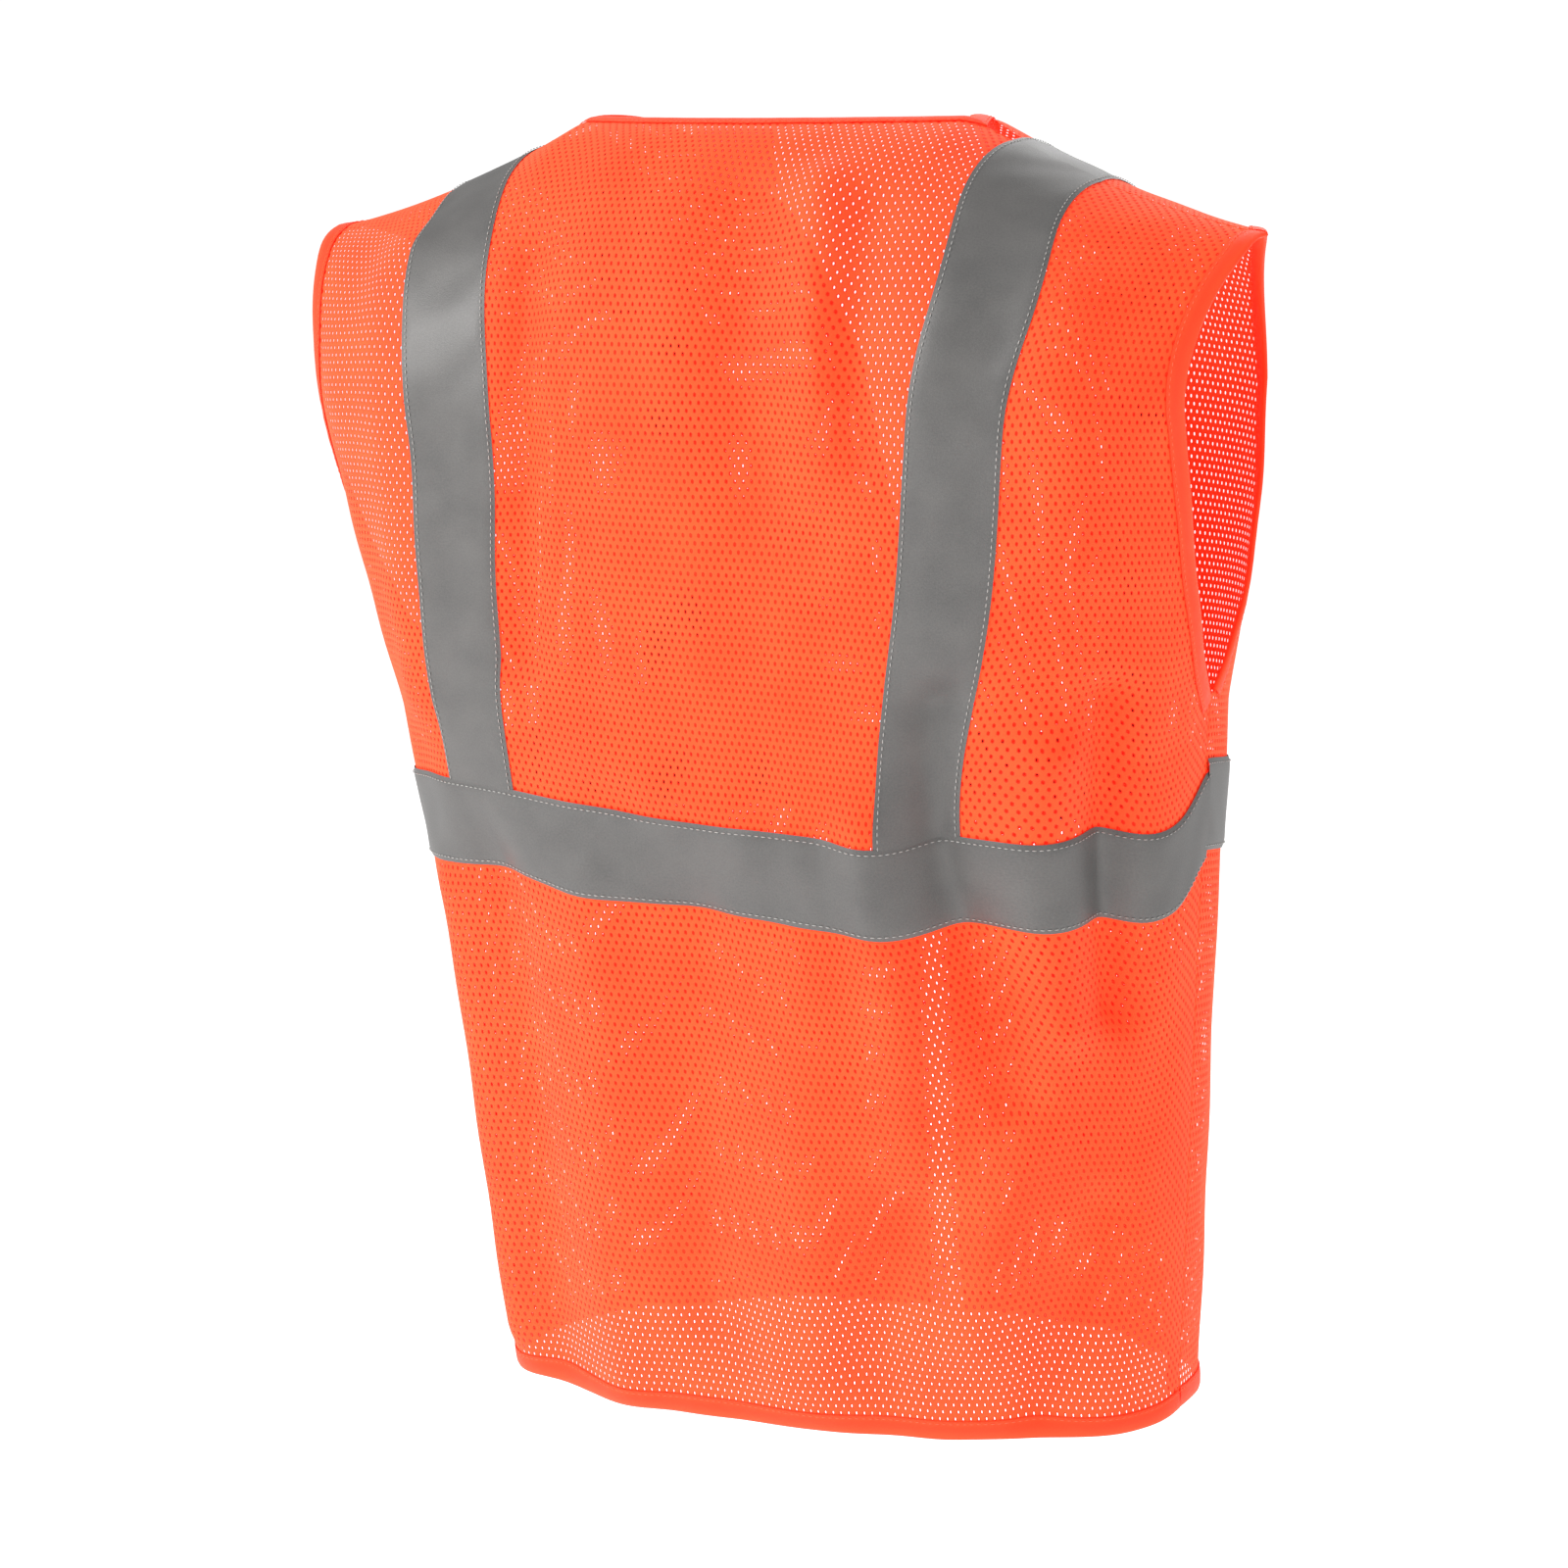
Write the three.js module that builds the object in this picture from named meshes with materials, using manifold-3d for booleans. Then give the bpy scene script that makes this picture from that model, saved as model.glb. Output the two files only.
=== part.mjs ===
// A zip-front high-visibility vest in mesh fabric, shaped as it hangs on a wearer.
// Millimetres. +Z is up and the front faces -Y, so the wearer's right is -X. Heights below are measured
// from the hem; the finished vest is then moved so that the origin lies midway between the neck points,
// where the wearer's shoulders carry it.
import * as THREE from "three";
import { mergeVertices } from "three/addons/utils/BufferGeometryUtils.js";
import Module from "manifold-3d";

// Garment shape, half the width or depth measured from the middle.
const body = {
  hemHalfWidth: 201,
  underarmHalfWidth: 232,
  underarmHeight: 380,
  tipHalfWidth: 284, // shoulder tip, where armhole and shoulder seam meet
  tipHeight: 648,
  neckHalfWidth: 112,
  neckHeight: 710, // highest point of the shoulder seam
  shoulderHollow: 7, // the shoulder seam dips this far below a straight line
  shoulderDepth: 14, // the shoulder seam lies this far behind the middle
  backNeckReach: 42, // the back neck edge curves this far behind the shoulder seam
  backNeckRise: 3,
  curveStart: 560, // the panels start to bend over the shoulders here
  backHemDepth: 90,
  backDepth: 150,
  bladeHeight: 470, // from here up the back keeps its full depth
  frontDepth: 140,
  hemSquareness: 2.3, // 2 is an ellipse, more is boxier
  backSquareness: 3.2, // of the upper back, which lies flat between the armholes
  frontSquareness: 2.4,
  armholeWidth: { back: 264, front: 238 }, // narrowest half-width of a panel along the cloth
};
const cloth = { thickness: 1, seamGap: 0.8, layerGap: 0.7 };
const band = { width: 50.8, thickness: 0.6, atShoulder: 163, atWaist: 140, waistTop: 348, tuckGap: 0.5 };
const binding = { width: 10, thickness: 0.7 };
const allowance = { width: 12, thickness: 0.8 };
const zipper = {
  bottom: 14,
  top: 452, // the neckline opens above this
  toothTip: 5.5, // half the gap between the two open rows of teeth
  toothWidth: 3.2,
  toothDepth: 2.4,
  tapeWidth: 15,
  tapeThickness: 0.6,
  panelEdge: 11, // the front panel's edge, sewn on the tape
};
const slider = { width: 10.4, length: 10, plate: 0.9, web: 0.9, bridgeHeight: 3.4, bridgeWidth: 2.4 };
const tab = { length: 27, width: 6, thickness: 1.1, bar: 1.1, barRoom: 0.5, eye: 3.4 };
const pockets = {
  chest: { inner: 30, width: 78, bottom: 368, height: 100 },
  lower: { inner: 48, width: 150, bottom: 62, height: 165 },
};
const label = { width: 46, height: 34, thickness: 0.8, level: 1.9 };
const gridStep = 16; // longest facet across the cloth where it is curved

const colours = {
  mesh: 0xff5a2d,
  binding: 0xff4a33,
  band: 0x8a8886,
  tape: 0xe8552c,
  teeth: 0xd84a24,
  metal: 0xb9bcc0,
  label: 0xf1efe9,
};
const materials = {
  mesh: { color: colours.mesh, roughness: 0.8, metalness: 0 },
  binding: { color: colours.binding, roughness: 0.75, metalness: 0 },
  band: { color: colours.band, roughness: 0.45, metalness: 0 },
  tape: { color: colours.tape, roughness: 0.85, metalness: 0 },
  teeth: { color: colours.teeth, roughness: 0.4, metalness: 0 },
  metal: { color: colours.metal, roughness: 0.35, metalness: 1 },
  label: { color: colours.label, roughness: 0.8, metalness: 0 },
};

const { lerp, clamp } = THREE.MathUtils;
const wasm = await Module();
wasm.setup();

const vest = new THREE.Group();
vest.name = "high_visibility_vest";
vest.position.set(0, -body.shoulderDepth, -body.neckHeight);

// Half-width of the garment at a height, straight from hem to underarm and from underarm to shoulder.
function sideHalfWidth(z) {
  if (z < body.underarmHeight) {
    return lerp(body.hemHalfWidth, body.underarmHalfWidth, z / body.underarmHeight);
  }
  const rise = (z - body.underarmHeight) / (body.tipHeight - body.underarmHeight);
  return lerp(body.underarmHalfWidth, body.tipHalfWidth, rise);
}

// Depth of the panel's middle at a height: the back hangs in below the shoulder blades.
function panelDepth(panel, z) {
  if (panel === "front") return body.frontDepth;
  const rise = Math.min(z / body.bladeHeight, 1);
  return lerp(body.backHemDepth, body.backDepth, Math.sin((rise * Math.PI) / 2));
}

// How boxy the outline is at a height: the back grows squarer from the waist to the shoulder blades.
function squareness(panel, z) {
  const upper = panel === "back" ? body.backSquareness : body.frontSquareness;
  const rise = THREE.MathUtils.smoothstep(z, body.underarmHeight / 2, body.curveStart);
  return lerp(body.hemSquareness, upper, rise);
}

// Follows a quarter of the garment's horizontal outline from the panel's middle to its side.
function quarterOutline(panel, z) {
  const halfWidth = sideHalfWidth(z);
  const depth = panelDepth(panel, z);
  const power = 2 / squareness(panel, z);
  const steps = 90;
  const points = [];
  let length = 0;
  for (let i = 0; i <= steps; i++) {
    const angle = (i / steps) * (Math.PI / 2);
    const x = halfWidth * Math.sin(angle) ** power;
    const y = depth * Math.max(Math.cos(angle), 0) ** power;
    if (i > 0) length += Math.hypot(x - points[i - 1].x, y - points[i - 1].y);
    points.push({ x, y, length });
  }
  return points;
}

const outlines = new Map();
function outlineAt(panel, z) {
  const key = panel + z.toFixed(3);
  if (!outlines.has(key)) outlines.set(key, quarterOutline(panel, z));
  return outlines.get(key);
}

// Length of cloth from the panel's middle to the side seam.
function sideLength(panel, z) {
  return outlineAt(panel, z).at(-1).length;
}

// Point of the outline at a length of cloth from the middle; past the side seam it runs straight on.
function alongOutline(panel, z, across) {
  const points = outlineAt(panel, z);
  const want = Math.abs(across);
  let i = points.findIndex((p) => p.length >= want);
  if (i < 1) i = i === 0 ? 1 : points.length - 1;
  const [a, b] = [points[i - 1], points[i]];
  const share = (want - a.length) / (b.length - a.length);
  return { x: Math.sign(across) * lerp(a.x, b.x, share), y: lerp(a.y, b.y, share) };
}

// Where a vertical thread of the cloth ends: on the shoulder seam, or on the neck edge at the back.
function threadTop(panel, across) {
  const x = (across * body.tipHalfWidth) / shoulderReach;
  const beyondNeck = Math.abs(x) - body.neckHalfWidth;
  if (beyondNeck >= 0) {
    const share = beyondNeck / (body.tipHalfWidth - body.neckHalfWidth);
    const hollow = body.shoulderHollow * 4 * share * (1 - share);
    return { x, y: body.shoulderDepth, z: lerp(body.neckHeight, body.tipHeight, share) - hollow };
  }
  if (panel === "front") return { x, y: body.shoulderDepth, z: body.neckHeight };
  const inward = 1 - (x / body.neckHalfWidth) ** 2;
  const y = body.shoulderDepth + body.backNeckReach * inward;
  return { x, y, z: body.neckHeight + body.backNeckRise * inward };
}
const shoulderReach = body.tipHalfWidth + 4; // length of cloth from the middle to the shoulder tip

// Point of a panel. across is the length of cloth from the middle. level runs 0 to 1 from the hem to
// where the shoulder curve starts, then 1 to 2 over the shoulder to the seam.
function clothPoint(panel, across, level) {
  const outward = panel === "front" ? -1 : 1;
  const height = Math.min(level, 1) * body.curveStart;
  const low = alongOutline(panel, height, across);
  const seam = (outward * cloth.seamGap) / 2;
  if (level <= 1) return new THREE.Vector3(low.x, outward * low.y + seam, height);
  const turn = (level - 1) * (Math.PI / 2);
  const top = threadTop(panel, across);
  const lift = Math.sin(turn);
  return new THREE.Vector3(
    lerp(low.x, top.x, lift),
    lerp(top.y, outward * low.y, Math.cos(turn)) + seam,
    lerp(body.curveStart, top.z, lift),
  );
}

// The two directions of the cloth at a point, and the normal that faces away from the wearer.
function clothFrame(panel, across, level) {
  const step = 0.5;
  const levelStep = step / body.curveStart;
  const up = level + levelStep > 2 ? [level - 2 * levelStep, level] : [level - levelStep, level + levelStep];
  const side = clothPoint(panel, across + step, level).sub(clothPoint(panel, across - step, level));
  side.divideScalar(2 * step);
  const rise = clothPoint(panel, across, up[1]).sub(clothPoint(panel, across, up[0]));
  rise.divideScalar(2 * levelStep);
  const normal = side.clone().cross(rise).normalize();
  if (panel === "back") normal.negate();
  return { side, rise, normal };
}

// The panel's middle surface, moved out from the wearer by some millimetres.
function offsetPoint(panel, across, level, offset) {
  const { normal } = clothFrame(panel, across, level);
  return clothPoint(panel, across, level).addScaledVector(normal, offset);
}

// Steps across and up the cloth, given a distance along the surface in each direction of the frame.
function moveOnCloth(panel, at, direction, distance) {
  const { side, rise } = clothFrame(panel, at.across, at.level);
  const [a, b, c] = [side.dot(side), side.dot(rise), rise.dot(rise)];
  const [p, q] = [direction.dot(side), direction.dot(rise)];
  const span = a * c - b * b;
  return {
    across: at.across + (distance * (p * c - q * b)) / span,
    level: at.level + (distance * (q * a - p * b)) / span,
  };
}

const levelAt = (z) => z / body.curveStart; // below the shoulder curve
const heightAt = (level) => level * body.curveStart;

// Half-width of a panel along the cloth: to the side seam, then along the armhole.
function edgeReach(panel, level) {
  const underarm = levelAt(body.underarmHeight);
  if (level <= underarm) return sideLength(panel, heightAt(level));
  const rise = (level - underarm) / (2 - underarm);
  const narrowest = body.armholeWidth[panel];
  const scoop = (sideLength(panel, body.underarmHeight) - narrowest) * (1 - rise) ** 6;
  return narrowest + scoop + (shoulderReach - narrowest) * rise ** 2;
}

// The inner edge of a front panel: straight beside the zipper, then out to the neck point.
function frontOpening(level) {
  const start = levelAt(zipper.top);
  if (level <= start) return zipper.panelEdge;
  const neck = (body.neckHalfWidth * shoulderReach) / body.tipHalfWidth;
  const rise = (level - start) / (2 - start);
  return lerp(zipper.panelEdge, neck, rise ** 0.9);
}

// Evenly spaced values from a to b, none further apart than step.
function spread(a, b, step) {
  const count = Math.max(1, Math.ceil(Math.abs(b - a) / step - 1e-6));
  return Array.from({ length: count + 1 }, (_, i) => lerp(a, b, i / count));
}

// The levels at which the panels have a row of vertices: one at each change of outline.
function clothLevels() {
  const underarm = levelAt(body.underarmHeight);
  const scoop = [0, 0.02, 0.045, 0.08, 0.13, 0.18].map((share) => underarm + share * (2 - underarm));
  const belowBand = spread(0, band.waistTop - band.width, 110).map(levelAt);
  const overShoulder = spread(1, 2, 0.1);
  return [...belowBand, levelAt(band.waistTop), ...scoop, ...overShoulder].sort((a, b) => a - b);
}
const levels = clothLevels();

// A geometry from shared points and faces, with its faces turned outward.
function closedGeometry(points, faces) {
  let volume = 0;
  for (let i = 0; i < faces.length; i += 3) {
    const [a, b, c] = [points[faces[i]], points[faces[i + 1]], points[faces[i + 2]]];
    volume += a.dot(b.clone().cross(c));
  }
  if (volume < 0) {
    for (let i = 0; i < faces.length; i += 3) [faces[i + 1], faces[i + 2]] = [faces[i + 2], faces[i + 1]];
  }
  const geometry = new THREE.BufferGeometry().setFromPoints(points).setIndex(faces);
  geometry.computeVertexNormals();
  return geometry;
}

// A sheet between two skins: point(column, row, skin) gives each corner, skin 0 inside and 1 outside.
function thickSheet(columnCount, rowCount, point) {
  const points = [];
  for (let row = 0; row < rowCount; row++) {
    for (let column = 0; column < columnCount; column++) {
      points.push(point(column, row, 0), point(column, row, 1));
    }
  }
  const index = (column, row, skin) => (row * columnCount + column) * 2 + skin;
  const faces = [];
  const quad = (a, b, c, d) => faces.push(a, b, c, a, c, d);
  for (let row = 0; row < rowCount - 1; row++) {
    for (let column = 0; column < columnCount - 1; column++) {
      for (const skin of [0, 1]) {
        const corners = [
          index(column, row, skin),
          index(column + 1, row, skin),
          index(column + 1, row + 1, skin),
          index(column, row + 1, skin),
        ];
        quad(...(skin ? corners : corners.reverse()));
      }
    }
  }
  for (let column = 0; column < columnCount - 1; column++) {
    const top = rowCount - 1;
    quad(index(column, 0, 0), index(column + 1, 0, 0), index(column + 1, 0, 1), index(column, 0, 1));
    quad(index(column + 1, top, 0), index(column, top, 0), index(column, top, 1), index(column + 1, top, 1));
  }
  for (let row = 0; row < rowCount - 1; row++) {
    const end = columnCount - 1;
    quad(index(0, row + 1, 0), index(0, row, 0), index(0, row, 1), index(0, row + 1, 1));
    quad(index(end, row, 0), index(end, row + 1, 0), index(end, row + 1, 1), index(end, row, 1));
  }
  return closedGeometry(points, faces);
}

function addPiece(name, geometry, material) {
  const mesh = new THREE.Mesh(geometry, new THREE.MeshStandardMaterial(materials[material]));
  mesh.name = name;
  vest.add(mesh);
  return mesh;
}

// A flat-cut piece of cloth lying on a panel: from one length across to another at each level.
function clothPiece({ panel, side = 1, rows, from, to, inside, outside, shares }) {
  const widest = Math.max(...rows.map((level) => Math.abs(to(level) - from(level))));
  const columns = shares ?? spread(0, 1, gridStep / widest);
  return thickSheet(columns.length, rows.length, (column, row, skin) => {
    const across = side * lerp(from(rows[row]), to(rows[row]), columns[column]);
    return offsetPoint(panel, across, rows[row], skin ? outside : inside);
  });
}

// Where the back panel has a column of vertices, as shares of its width: one falls on each neck point.
const neckReach = (body.neckHalfWidth * shoulderReach) / body.tipHalfWidth;
const neckShare = neckReach / shoulderReach;
const widestBack = sideLength("back", body.underarmHeight);
const acrossNeck = spread(-neckShare, neckShare, gridStep / widestBack);
const besideNeck = spread(neckShare, 1, gridStep / widestBack).slice(1);
const besideNeckRight = besideNeck.map((share) => -share).reverse();
const backShares = [...besideNeckRight, ...acrossNeck, ...besideNeck].map((share) => (share + 1) / 2);

const halfCloth = cloth.thickness / 2;
const bandInside = halfCloth + cloth.layerGap;

// The panels' cut edge lies inside the fold of the hem binding, whose own fold is at the hem.
const hemLevel = levelAt(cloth.layerGap + binding.thickness);
const frontShares = spread(0, 1, gridStep / sideLength("front", body.underarmHeight));

function addPanels() {
  const skins = { inside: -halfCloth, outside: halfCloth };
  const fromHem = [hemLevel, ...levels.slice(1)];
  const backEdge = (level) => edgeReach("back", level);
  const frontEdge = (level) => edgeReach("front", level);
  const back = { panel: "back", rows: fromHem, from: (level) => -backEdge(level), to: backEdge, ...skins };
  addPiece("back_panel", clothPiece({ ...back, shares: backShares }), "mesh");
  for (const [name, side] of [["front_panel_right", -1], ["front_panel_left", 1]]) {
    const front = { panel: "front", side, rows: fromHem, from: frontOpening, to: frontEdge, ...skins };
    addPiece(name, clothPiece({ ...front, shares: frontShares }), "mesh");
  }
}

// Bias binding folded over an edge of a panel. The stops say where the edge runs on the cloth. toCloth
// gives the direction from the edge into the cloth, from a stop's frame and the direction of the run.
function edgeBinding(panel, stops, toCloth) {
  const clear = cloth.layerGap;
  const slot = halfCloth + clear;
  const skin = slot + binding.thickness;
  const back = clear + binding.thickness;
  const profile = [
    [-back, skin],
    [binding.width, skin],
    [binding.width, slot],
    [-clear, slot],
    [-clear, -slot],
    [binding.width, -slot],
    [binding.width, -skin],
    [-back, -skin],
  ];
  const edge = stops.map((stop) => clothPoint(panel, stop.across, stop.level));
  const points = [];
  stops.forEach((stop, i) => {
    const frame = clothFrame(panel, stop.across, stop.level);
    const along = edge[Math.min(i + 1, edge.length - 1)].clone().sub(edge[Math.max(i - 1, 0)]);
    const inward = toCloth(frame, along);
    if (isOnSeam(panel, stop)) inward.setY(0);
    inward.normalize();
    for (const [distance, offset] of profile) {
      if (distance < 0) {
        points.push(edge[i].clone().addScaledVector(inward, distance).addScaledVector(frame.normal, offset));
        continue;
      }
      const place = moveOnCloth(panel, stop, inward, distance);
      points.push(offsetPoint(panel, withinSides(panel, place), Math.min(place.level, 2), offset));
    }
  });
  return loft(points, profile.length, [[0, 1, 2], [0, 2, 3], [0, 3, 4], [0, 4, 7], [7, 4, 5], [7, 5, 6]]);
}

// The shoulder and side seams both lie in a plane square to Y, and a binding that ends there ends flush.
function isOnSeam(panel, { across, level }) {
  const tiny = 1e-6;
  if (level >= 2) return Math.abs(across) >= neckReach - tiny;
  return level <= 1 && Math.abs(across) >= sideLength(panel, heightAt(level)) - tiny;
}

// Directions into the cloth: up or down its threads, or to one side of the run.
const upThreads = ({ rise }) => rise.clone();
const downThreads = ({ rise }) => rise.clone().negate();
const besideRun = (turn) => ({ normal }, along) => normal.clone().cross(along).multiplyScalar(turn);

// Keeps a place on the cloth from running past the side seam.
function withinSides(panel, place) {
  const reach = sideLength(panel, heightAt(Math.min(place.level, 1)));
  return clamp(place.across, -reach, reach);
}

// Joins loops of points, size points each, into a closed solid. cap lists the triangles of an end.
function loft(points, size, cap) {
  const faces = [];
  const last = points.length - size;
  for (let start = 0; start < last; start += size) {
    for (let j = 0; j < size; j++) {
      const next = (j + 1) % size;
      faces.push(start + j, start + next, start + size + next);
      faces.push(start + j, start + size + next, start + size + j);
    }
  }
  for (const [a, b, c] of cap) faces.push(a, c, b, last + a, last + b, last + c);
  return closedGeometry(points, faces);
}

const sides = [["right", -1], ["left", 1]];
const armholeLevels = levels.filter((level) => level >= levelAt(body.underarmHeight) - 1e-6);

function addBindings() {
  const neck = acrossNeck.map((share) => ({ across: share * shoulderReach, level: 2 }));
  addPiece("neck_binding_back", edgeBinding("back", neck.slice(1, -1), downThreads), "binding");
  const backReach = edgeReach("back", hemLevel);
  const backHem = backShares.map((share) => ({ across: (2 * share - 1) * backReach, level: hemLevel }));
  addPiece("hem_binding_back", edgeBinding("back", backHem, upThreads), "binding");
  for (const [name, side] of sides) {
    const opening = levels.filter((level) => level >= levelAt(zipper.top) + 0.01);
    const front = [levelAt(zipper.top), ...opening].map((level) => {
      return { across: side * frontOpening(level), level };
    });
    addPiece("neck_binding_front_" + name, edgeBinding("front", front, besideRun(-side)), "binding");
    const hemReach = edgeReach("front", hemLevel);
    const hem = frontShares.map((share) => {
      return { across: side * lerp(zipper.panelEdge, hemReach, share), level: hemLevel };
    });
    addPiece("hem_binding_" + name, edgeBinding("front", hem, upThreads), "binding");
    for (const panel of ["back", "front"]) {
      const edge = armholeLevels.map((level) => ({ across: side * edgeReach(panel, level), level }));
      const turn = panel === "back" ? -side : side;
      addPiece("armhole_binding_" + panel + "_" + name, edgeBinding(panel, edge, besideRun(turn)), "binding");
    }
  }
}

function addBands() {
  const skins = { inside: bandInside, outside: bandInside + band.thickness };
  const half = band.width / 2;
  const upright = levels.filter((level) => level > levelAt(band.waistTop) + 1e-6);
  const rows = [levelAt(band.waistTop + band.tuckGap), ...upright];
  const middle = (level) => lerp(band.atWaist, band.atShoulder, (level - rows[0]) / (2 - rows[0]));
  const shoulder = {
    rows,
    from: (level) => middle(level) - half,
    to: (level) => middle(level) + half,
    ...skins,
  };
  const waistRows = [levelAt(band.waistTop - band.width), levelAt(band.waistTop)];
  const backEdge = (level) => sideLength("back", heightAt(level));
  const frontEdge = (level) => sideLength("front", heightAt(level));
  const waist = { rows: waistRows, ...skins };
  const behind = { panel: "back", from: (level) => -backEdge(level), to: backEdge, ...waist };
  addPiece("waist_band_back", clothPiece(behind), "band");
  for (const [name, side] of sides) {
    for (const panel of ["back", "front"]) {
      addPiece("shoulder_band_" + panel + "_" + name, clothPiece({ panel, side, ...shoulder }), "band");
    }
    const front = { panel: "front", side, from: () => zipper.panelEdge, to: frontEdge, ...waist };
    addPiece("waist_band_front_" + name, clothPiece(front), "band");
  }
}

// The cloth left over at a seam, folded flat against the inside of the back panel.
function addSeamAllowances() {
  const inner = -halfCloth - cloth.layerGap;
  const skins = { inside: inner - allowance.thickness, outside: inner };
  const endGap = 5; // between an allowance and the binding beside it
  const top = {
    from: () => body.neckHalfWidth + binding.width + endGap + 1,
    to: () => shoulderReach - binding.width - endGap,
  };
  const lastRow = levels.at(-2);
  const overSeam = [lerp(lastRow, 2, 0.45), 2]; // a little over half of the panel's last row
  const below = band.waistTop - band.width;
  const sideRows = [binding.width + endGap - 1, below / 2, below, band.waistTop].map(levelAt);
  const edge = (level) => sideLength("back", heightAt(level));
  for (const [name, side] of sides) {
    const shoulder = { panel: "back", side, rows: overSeam, ...top, ...skins };
    addPiece("shoulder_seam_allowance_" + name, clothPiece(shoulder), "binding");
    const inward = (level) => edge(level) - allowance.width;
    const seam = { panel: "back", side, rows: sideRows, from: inward, to: edge, ...skins };
    addPiece("side_seam_allowance_" + name, clothPiece(seam), "binding");
  }
}

// A patch pocket sewn flat on a front panel, with binding folded over its mouth.
function addPocket(name, side, pocket) {
  const inside = halfCloth + cloth.layerGap;
  const skins = { inside, outside: inside + cloth.thickness };
  const reach = { from: () => pocket.inner, to: () => pocket.inner + pocket.width };
  const top = pocket.bottom + pocket.height;
  const mouth = top - binding.width - cloth.layerGap;
  const rows = spread(pocket.bottom, mouth, 80).map(levelAt);
  addPiece(name, clothPiece({ panel: "front", side, rows, ...reach, ...skins }), "mesh");
  const edge = { inside, outside: skins.outside + binding.thickness };
  const edgeRows = [mouth + cloth.layerGap, top].map(levelAt);
  const mouthBinding = clothPiece({ panel: "front", side, rows: edgeRows, ...reach, ...edge });
  addPiece(name + "_binding", mouthBinding, "binding");
}

function addPockets() {
  addPocket("chest_pocket_left", 1, pockets.chest);
  addPocket("lower_pocket_right", -1, pockets.lower);
  addPocket("lower_pocket_left", 1, pockets.lower);
}

const frontLine = -body.frontDepth - cloth.seamGap / 2; // Y of the cloth beside the zipper

function addBox(name, material, low, high) {
  const [dx, dy, dz] = low.map((value, i) => high[i] - value);
  const mesh = addPiece(name, new THREE.BoxGeometry(dx, dy, dz), material);
  mesh.position.set(...low.map((value, i) => (value + high[i]) / 2));
  return mesh;
}

function addBoxOnSide(name, material, side, low, high) {
  const [a, b] = side > 0 ? [low[0], high[0]] : [-high[0], -low[0]];
  return addBox(name, material, [a, low[1], low[2]], [b, high[1], high[2]]);
}

// Each half of the zipper: a woven tape behind the panel's edge, with the row of teeth on its own edge.
function addZipperHalves() {
  const teethEnd = zipper.toothTip + zipper.toothWidth;
  const tapeFront = frontLine + halfCloth + cloth.layerGap;
  const stopHeight = 3;
  const tapeInner = teethEnd + cloth.layerGap / 2;
  const [toothFront, toothBack] = toothFaces();
  for (const [name, side] of sides) {
    const tapeLow = [tapeInner, tapeFront, zipper.bottom];
    const tapeHigh = [tapeInner + zipper.tapeWidth, tapeFront + zipper.tapeThickness, zipper.top - 4];
    addBoxOnSide("zipper_tape_" + name, "tape", side, tapeLow, tapeHigh);
    const teethTop = zipper.top - 4 - stopHeight - cloth.layerGap / 2;
    const low = [zipper.toothTip, toothFront, zipper.bottom];
    addBoxOnSide("zipper_teeth_" + name, "teeth", side, low, [teethEnd, toothBack, teethTop]);
    const stopLow = [zipper.toothTip, toothFront - 0.3, teethTop + cloth.layerGap / 2];
    const stopHigh = [teethEnd, toothBack + 0.3, zipper.top - 4];
    addBoxOnSide("zipper_top_stop_" + name, "metal", side, stopLow, stopHigh);
  }
}

// The teeth stand on both faces of the tape, so they are centred on its thickness.
function toothFaces() {
  const middle = frontLine + halfCloth + cloth.layerGap + zipper.tapeThickness / 2;
  return [middle - zipper.toothDepth / 2, middle + zipper.toothDepth / 2];
}

// The box that the other half's pin drops into, fixed at the foot of the left half.
function addZipperFoot() {
  const [toothFront, toothBack] = toothFaces();
  const height = 10;
  const clear = cloth.layerGap / 2;
  const teethEnd = zipper.toothTip + zipper.toothWidth;
  const top = zipper.bottom - clear;
  const boxLow = [0.6, toothFront - 0.7, top - height];
  addBox("zipper_retainer_box", "metal", boxLow, [teethEnd + 0.9, toothBack + 0.7, top]);
  const pinLow = [-teethEnd, toothFront + 0.3, top - height + 1.5];
  addBox("zipper_insertion_pin", "metal", pinLow, [-zipper.toothTip, toothBack - 0.3, top]);
}

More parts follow.
